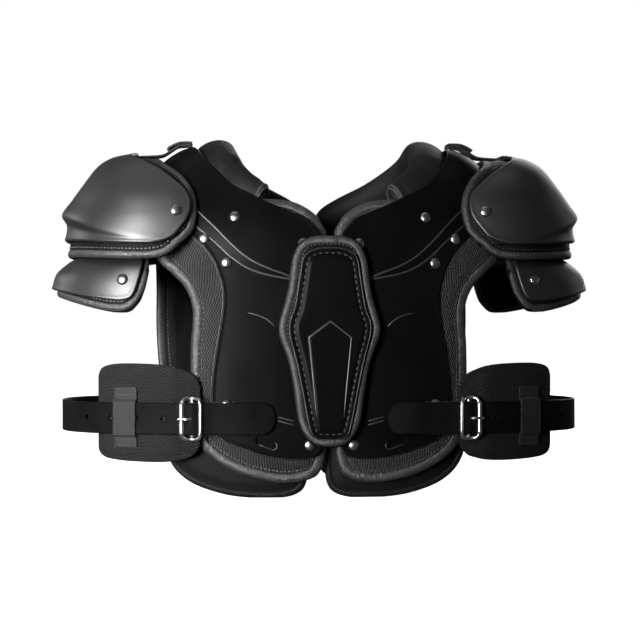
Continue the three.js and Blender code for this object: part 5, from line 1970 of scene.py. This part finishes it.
    def side_pad(self) -> None:
        """The mesh pad under the belt, with a pressed edge."""
        table = fine(SIDE_PAD_ROWS, 7)
        angle = TORSO.girdle_angle(table[:, 0] * TORSO.half_width, Face.CHEST)[:, None]
        share = even_columns(44)[None]
        height = 30 + 91 * (table[:, 1:2] + (table[:, 2:3] - table[:, 1:2]) * share)
        angle = np.broadcast_to(angle, height.shape)
        thick = table[:, 3:4] * self.pad_thickness
        lift = np.broadcast_to((thick - 2.8) / 2, height.shape)
        normals = TORSO.girdle_normal(angle) * self.mirror
        patch = Patch(TORSO.on_girdle(angle, lift, height) * self.mirror, normals)
        full = np.broadcast_to((thick + 2.8) / 2, height.shape)
        edge_half = 1.6
        half = rounded_lift(patch.rim_distance, edge_half, edge_half)
        half = half + np.maximum(full - edge_half, 0.0) * smooth(3.0, 10.0, patch.rim_distance)
        piece = patch.solid(f"side_mesh_{self.side.word}", half, -half)
        dressed(piece, self.finishes.side_mesh, [f"side_pad_{self.side.word}"])

    def build(self) -> None:
        """Makes all pieces of the belt."""
        self.side_pad()
        self.strap()
        self.keeper()
        self.buckle()


@dataclass
class Straps:
    """The shoulder tabs and the back straps."""

    finishes: Finishes
    tongue: tuple = ((121.0, 323.35), (128, 323.2), (134.0, 322.4), (141, 317.8), (147, 314.2),
                     (153, 312.9), (160, 312.4), (168.6, 312.0), (176, 311.2))
    tab: tuple = ((121.5, 325.4), (127, 325.6), (133.5, 325.0), (140, 322.2), (143.6, 319.8))

    def band(self, side: Side, path: Array, half_width: float, thickness: float) -> bpy.types.Object:
        """A strip of webbing in the middle of the arch, along reach and height.

        Args:
            side: which half.
            path: pairs of reach and height.
            half_width: its half width.
            thickness: its thickness.

        Returns:
            The strip.
        """
        places = np.stack([side.value * path[:, 0], np.zeros(len(path)), path[:, 1]], axis=-1)
        across = np.broadcast_to([0.0, 1.0, 0.0], places.shape)
        out = unit(np.cross(unit(np.gradient(places, axis=0)), across))
        out *= np.sign(out[:, 2:3])
        return strip("band", places, across, out, np.full(len(path), half_width), thickness)

    def shoulder(self, side: Side) -> None:
        """The folded webbing tab on the arch and the tongue to the cap."""
        tongue = self.band(side, fine(self.tongue, 5), 13.0, 1.8)
        tab = self.band(side, fine(self.tab, 6), 12.8, 2.2)
        piece = joined(f"shoulder_tab_{side.word}", [tongue, tab])
        dressed(piece, self.finishes.webbing, [f"shoulder_strap_{side.word}"])

    def back(self, number: int, share: float) -> None:
        """A flat strap across the back plates."""
        x = np.linspace(-36, 36, 25)
        turn = TORSO.turn(np.full(25, share * TORSO.crest + 12.5), Face.BACK)
        normal = TORSO.normal(x, turn)
        places = TORSO.point(x, turn) + normal * GAP
        up = np.broadcast_to([0.0, 0.0, 1.0], places.shape)
        piece = strip(f"back_webbing_{number}", places, up, normal, np.full(25, 12.5), 1.6)
        dressed(piece, self.finishes.webbing, [f"back_strap_{number}"])
        rows = []
        for reach in (-31.0, -23.0, 31.0, 23.0):
            at = np.array([reach])
            base = TORSO.point(at, turn[:1]) + TORSO.normal(at, turn[:1]) * (GAP + 1.7)
            rows.append(base + np.array([0.0, 0.0, 1.0]) * np.linspace(-10, 10, 9)[:, None])
        self.finishes.sewn(f"back_stitches_{number}", rows, closed=False, length=2.0, pitch=2.9,
                           thread=0.4)

    def build(self) -> None:
        """Makes all straps."""
        for side in Side:
            self.shoulder(side)
        for number, share in ((1, 0.31), (2, 0.56)):
            self.back(number, share)


# Rivets


@dataclass
class Rivets:
    """Dome rivets with a washer, set by Geometry Nodes."""

    finishes: Finishes
    shell: ChestShell
    radius: float = 4.9
    rise: float = 2.6
    on_shell: tuple = (("collar", 0.796, 0.780), ("ridge", 0.870, 0.653), ("shoulder", 1.050, 0.721),
                       ("sternum_low", 0.182, 0.149), ("sternum_high", 0.231, 0.706))
    on_caps: tuple = (("epaulet", EPAULET, 4.08, 0.120), ("cup", CUP, 3.1, -0.350))
    on_buckle: tuple = (0.870, 0.260)
    shank: float = 1.6

    def prototype(self) -> bpy.types.Object:
        """One rivet standing on +Z, in metres."""
        dome = [(self.radius * math.cos(t), self.rise * (0.18 + 0.82 * math.sin(t)))
                for t in np.linspace(0, math.pi / 2, 9)[:-1]]
        washer = [(self.radius + 0.15, -0.05), (self.radius + 0.2, 0.15)]
        shank = [(0, -2.6), (self.shank, -2.6), (self.shank, -0.05)]
        points, faces = lathe([*shank, *washer, *dome, (0, self.rise)], 36)
        mesh = bpy.data.meshes.new("rivet")
        mesh.from_pydata((points * MM).tolist(), [], faces)
        mesh.polygons.foreach_set("use_smooth", [True] * len(mesh.polygons))
        return bpy.data.objects.new("rivet", mesh)

    def seat(self, side: Side, reach: float, height: float) -> tuple:
        """Place and outward normal on the chest, at shares of its reach and height."""
        at = np.array(side.value * reach * TORSO.shell_reach)
        turn = TORSO.turn(height * TORSO.crest, Face.CHEST)
        return TORSO.point(at, turn), TORSO.normal(at, turn)

    def build(self, side: Side) -> None:
        """Makes one piece of all rivets of a side.

        Args:
            side: which half.
        """
        mirror = np.array([side.value, 1, 1])
        seats, ways, nodes = [], [], []
        for name, reach, height in self.on_shell:
            point, way = self.seat(side, reach, height)
            seats.append(point + way * (GAP + float(self.shell.relief(point))))
            ways.append(way)
            nodes.append(f"rivet_{name}_{side.word}")
        for name, cap, row, inward in self.on_caps:
            angle = cap.edge_angle(np.array(row), np.array(inward))
            way = cap.normal(np.array(row), angle) * mirror
            seats.append(cap.point(np.array(row), angle) * mirror + way * GAP)
            ways.append(way)
            nodes.append(f"rivet_{name}_{side.word}")
        point, way = self.seat(side, *self.on_buckle)
        seats.append(point + way * (2 * GAP + 1.5))
        ways.append(way)
        nodes.append(f"rivet_buckle_{side.word}")
        mesh = bpy.data.meshes.new("seats")
        mesh.from_pydata(((np.array(seats) + SHIFT) * MM).tolist(), [], [])
        way = mesh.attributes.new("way", "FLOAT_VECTOR", "POINT")
        way.data.foreach_set("vector", np.array(ways, np.float32).ravel())
        carrier = bpy.data.objects.new("seats", mesh)
        bpy.context.scene.collection.objects.link(carrier)
        shape = self.prototype()
        steel = self.finishes.rivet_steel
        made = self.finishes.fixings.run(f"rivets_{side.word}", carrier, Shape=shape, Material=steel)
        bpy.data.objects.remove(shape, do_unlink=True)
        dressed(made, steel, nodes)


# Studio


@dataclass
class Studio:
    """Floor, light and camera."""

    finishes: Finishes
    eye: tuple = (-0.1721, -1.8877, 0.160)
    heading: tuple = (0.0906, 0.9959, 0.0)
    floor_reach: float = 30.0

    def floor(self) -> None:
        """A wide pale floor."""
        mesh = bpy.data.meshes.new("floor")
        corners = ((-1, -1), (1, -1), (1, 1), (-1, 1))
        mesh.from_pydata([(x * self.floor_reach, y * self.floor_reach, 0) for x, y in corners], [],
                         [(0, 1, 2, 3)])
        floor = bpy.data.objects.new("floor", mesh)
        bpy.context.scene.collection.objects.link(floor)
        mesh.materials.append(self.finishes.floor)
        floor.visible_glossy = False
        floor.visible_diffuse = False

    def light(self, name: str, place: Sequence, target: Sequence, size: float, power: float,
              beam: float = 180.0) -> None:
        """A soft square light aimed at a place, with a beam in degrees.

        Args:
            name: the light's name.
            place: where it stands, in metres.
            target: where it points.
            size: its side.
            power: its watts.
            beam: its beam, in degrees.
        """
        data = bpy.data.lights.new(name, "AREA")
        data.shape, data.size, data.energy = "SQUARE", size, power
        data.spread = math.radians(beam)
        lamp = bpy.data.objects.new(name, data)
        lamp.location = place
        lamp.rotation_euler = (Vector(target) - Vector(place)).to_track_quat("-Z", "Y").to_euler()
        bpy.context.scene.collection.objects.link(lamp)

    def sky(self) -> None:
        """A weak, wide sun that isn't mirrored in anything."""
        sun = bpy.data.lights.new("sky", "SUN")
        sun.energy, sun.angle = 0.3, 1.2
        lamp = bpy.data.objects.new("sky", sun)
        lamp.rotation_euler = (0.35, 0.1, 0)
        lamp.visible_glossy = False
        bpy.context.scene.collection.objects.link(lamp)

    def world(self) -> None:
        """White surround for the eye, dimmer for the light that it gives."""
        world = bpy.data.worlds.new("studio")
        bpy.context.scene.world = world
        world.use_nodes = True
        nodes, links = world.node_tree.nodes, world.node_tree.links
        back = next(n for n in nodes if n.type == "BACKGROUND")
        back.inputs["Color"].default_value = (1, 1, 1, 1)
        path = nodes.new("ShaderNodeLightPath")
        level = nodes.new("ShaderNodeMapRange")
        level.inputs["To Min"].default_value = 0.05
        level.inputs["To Max"].default_value = 1.0
        links.new(path.outputs["Is Camera Ray"], level.inputs["Value"])
        links.new(level.outputs[0], back.inputs["Strength"])

    def camera(self) -> None:
        """The camera at the photograph's angle."""
        data = bpy.data.cameras.new("camera")
        data.lens, data.sensor_width = 112.5, 36.0
        data.clip_end = 100
        camera = bpy.data.objects.new("camera", data)
        camera.location = self.eye
        camera.rotation_euler = Vector(self.heading).to_track_quat("-Z", "Y").to_euler()
        bpy.context.scene.collection.objects.link(camera)
        bpy.context.scene.camera = camera

    def build(self) -> None:
        """Makes the whole studio."""
        self.floor()
        self.light("key", (-0.84, -1.08, 0.27), (-0.36, 0.0, 0.2), 0.66, 9.0, 46)
        self.light("fill", (2.2, -1.0, 0.5), (0, 0, 0.2), 0.7, 0.4)
        self.light("top", (-0.2, 0.2, 2.1), (0, 0, 0.2), 2.0, 7)
        self.light("rim_left", (-1.9, 1.2, 0.8), (0, 0, 0.2), 0.8, 7)
        self.light("rim_right", (1.9, 1.2, 0.8), (0, 0, 0.2), 0.8, 1.5)
        self.light("back", (0.8, 2.3, 0.8), (0, 0.08, 0.15), 1.4, 22)
        self.sky()
        self.world()
        self.camera()
        bpy.context.scene.view_settings.view_transform = "Standard"


def main() -> None:
    """Builds every sub-assembly and the studio."""
    logging.basicConfig(level=logging.INFO, format="%(message)s", stream=sys.stdout)
    finishes = Finishes()
    Studio(finishes).build()
    for side in Side:
        shell = ChestShell(side, finishes)
        shell.build()
        BodyPad(side, finishes).build()
        CollarRoll(side, finishes).build()
        ShoulderCap("epaulet", EPAULET, EPAULET_SHELL_EDGE, EPAULET_PAD_EDGE, 9.0, side, finishes).build()
        ShoulderCap("cup", CUP, CUP_SHELL_EDGE, CUP_PAD_EDGE, 8.0, side, finishes).build()
        SideBelt(side, finishes).build()
        Rivets(finishes, shell).build(side)
    SternumGuard(finishes).build()
    Straps(finishes).build()


if __name__ == "__main__":
    main()
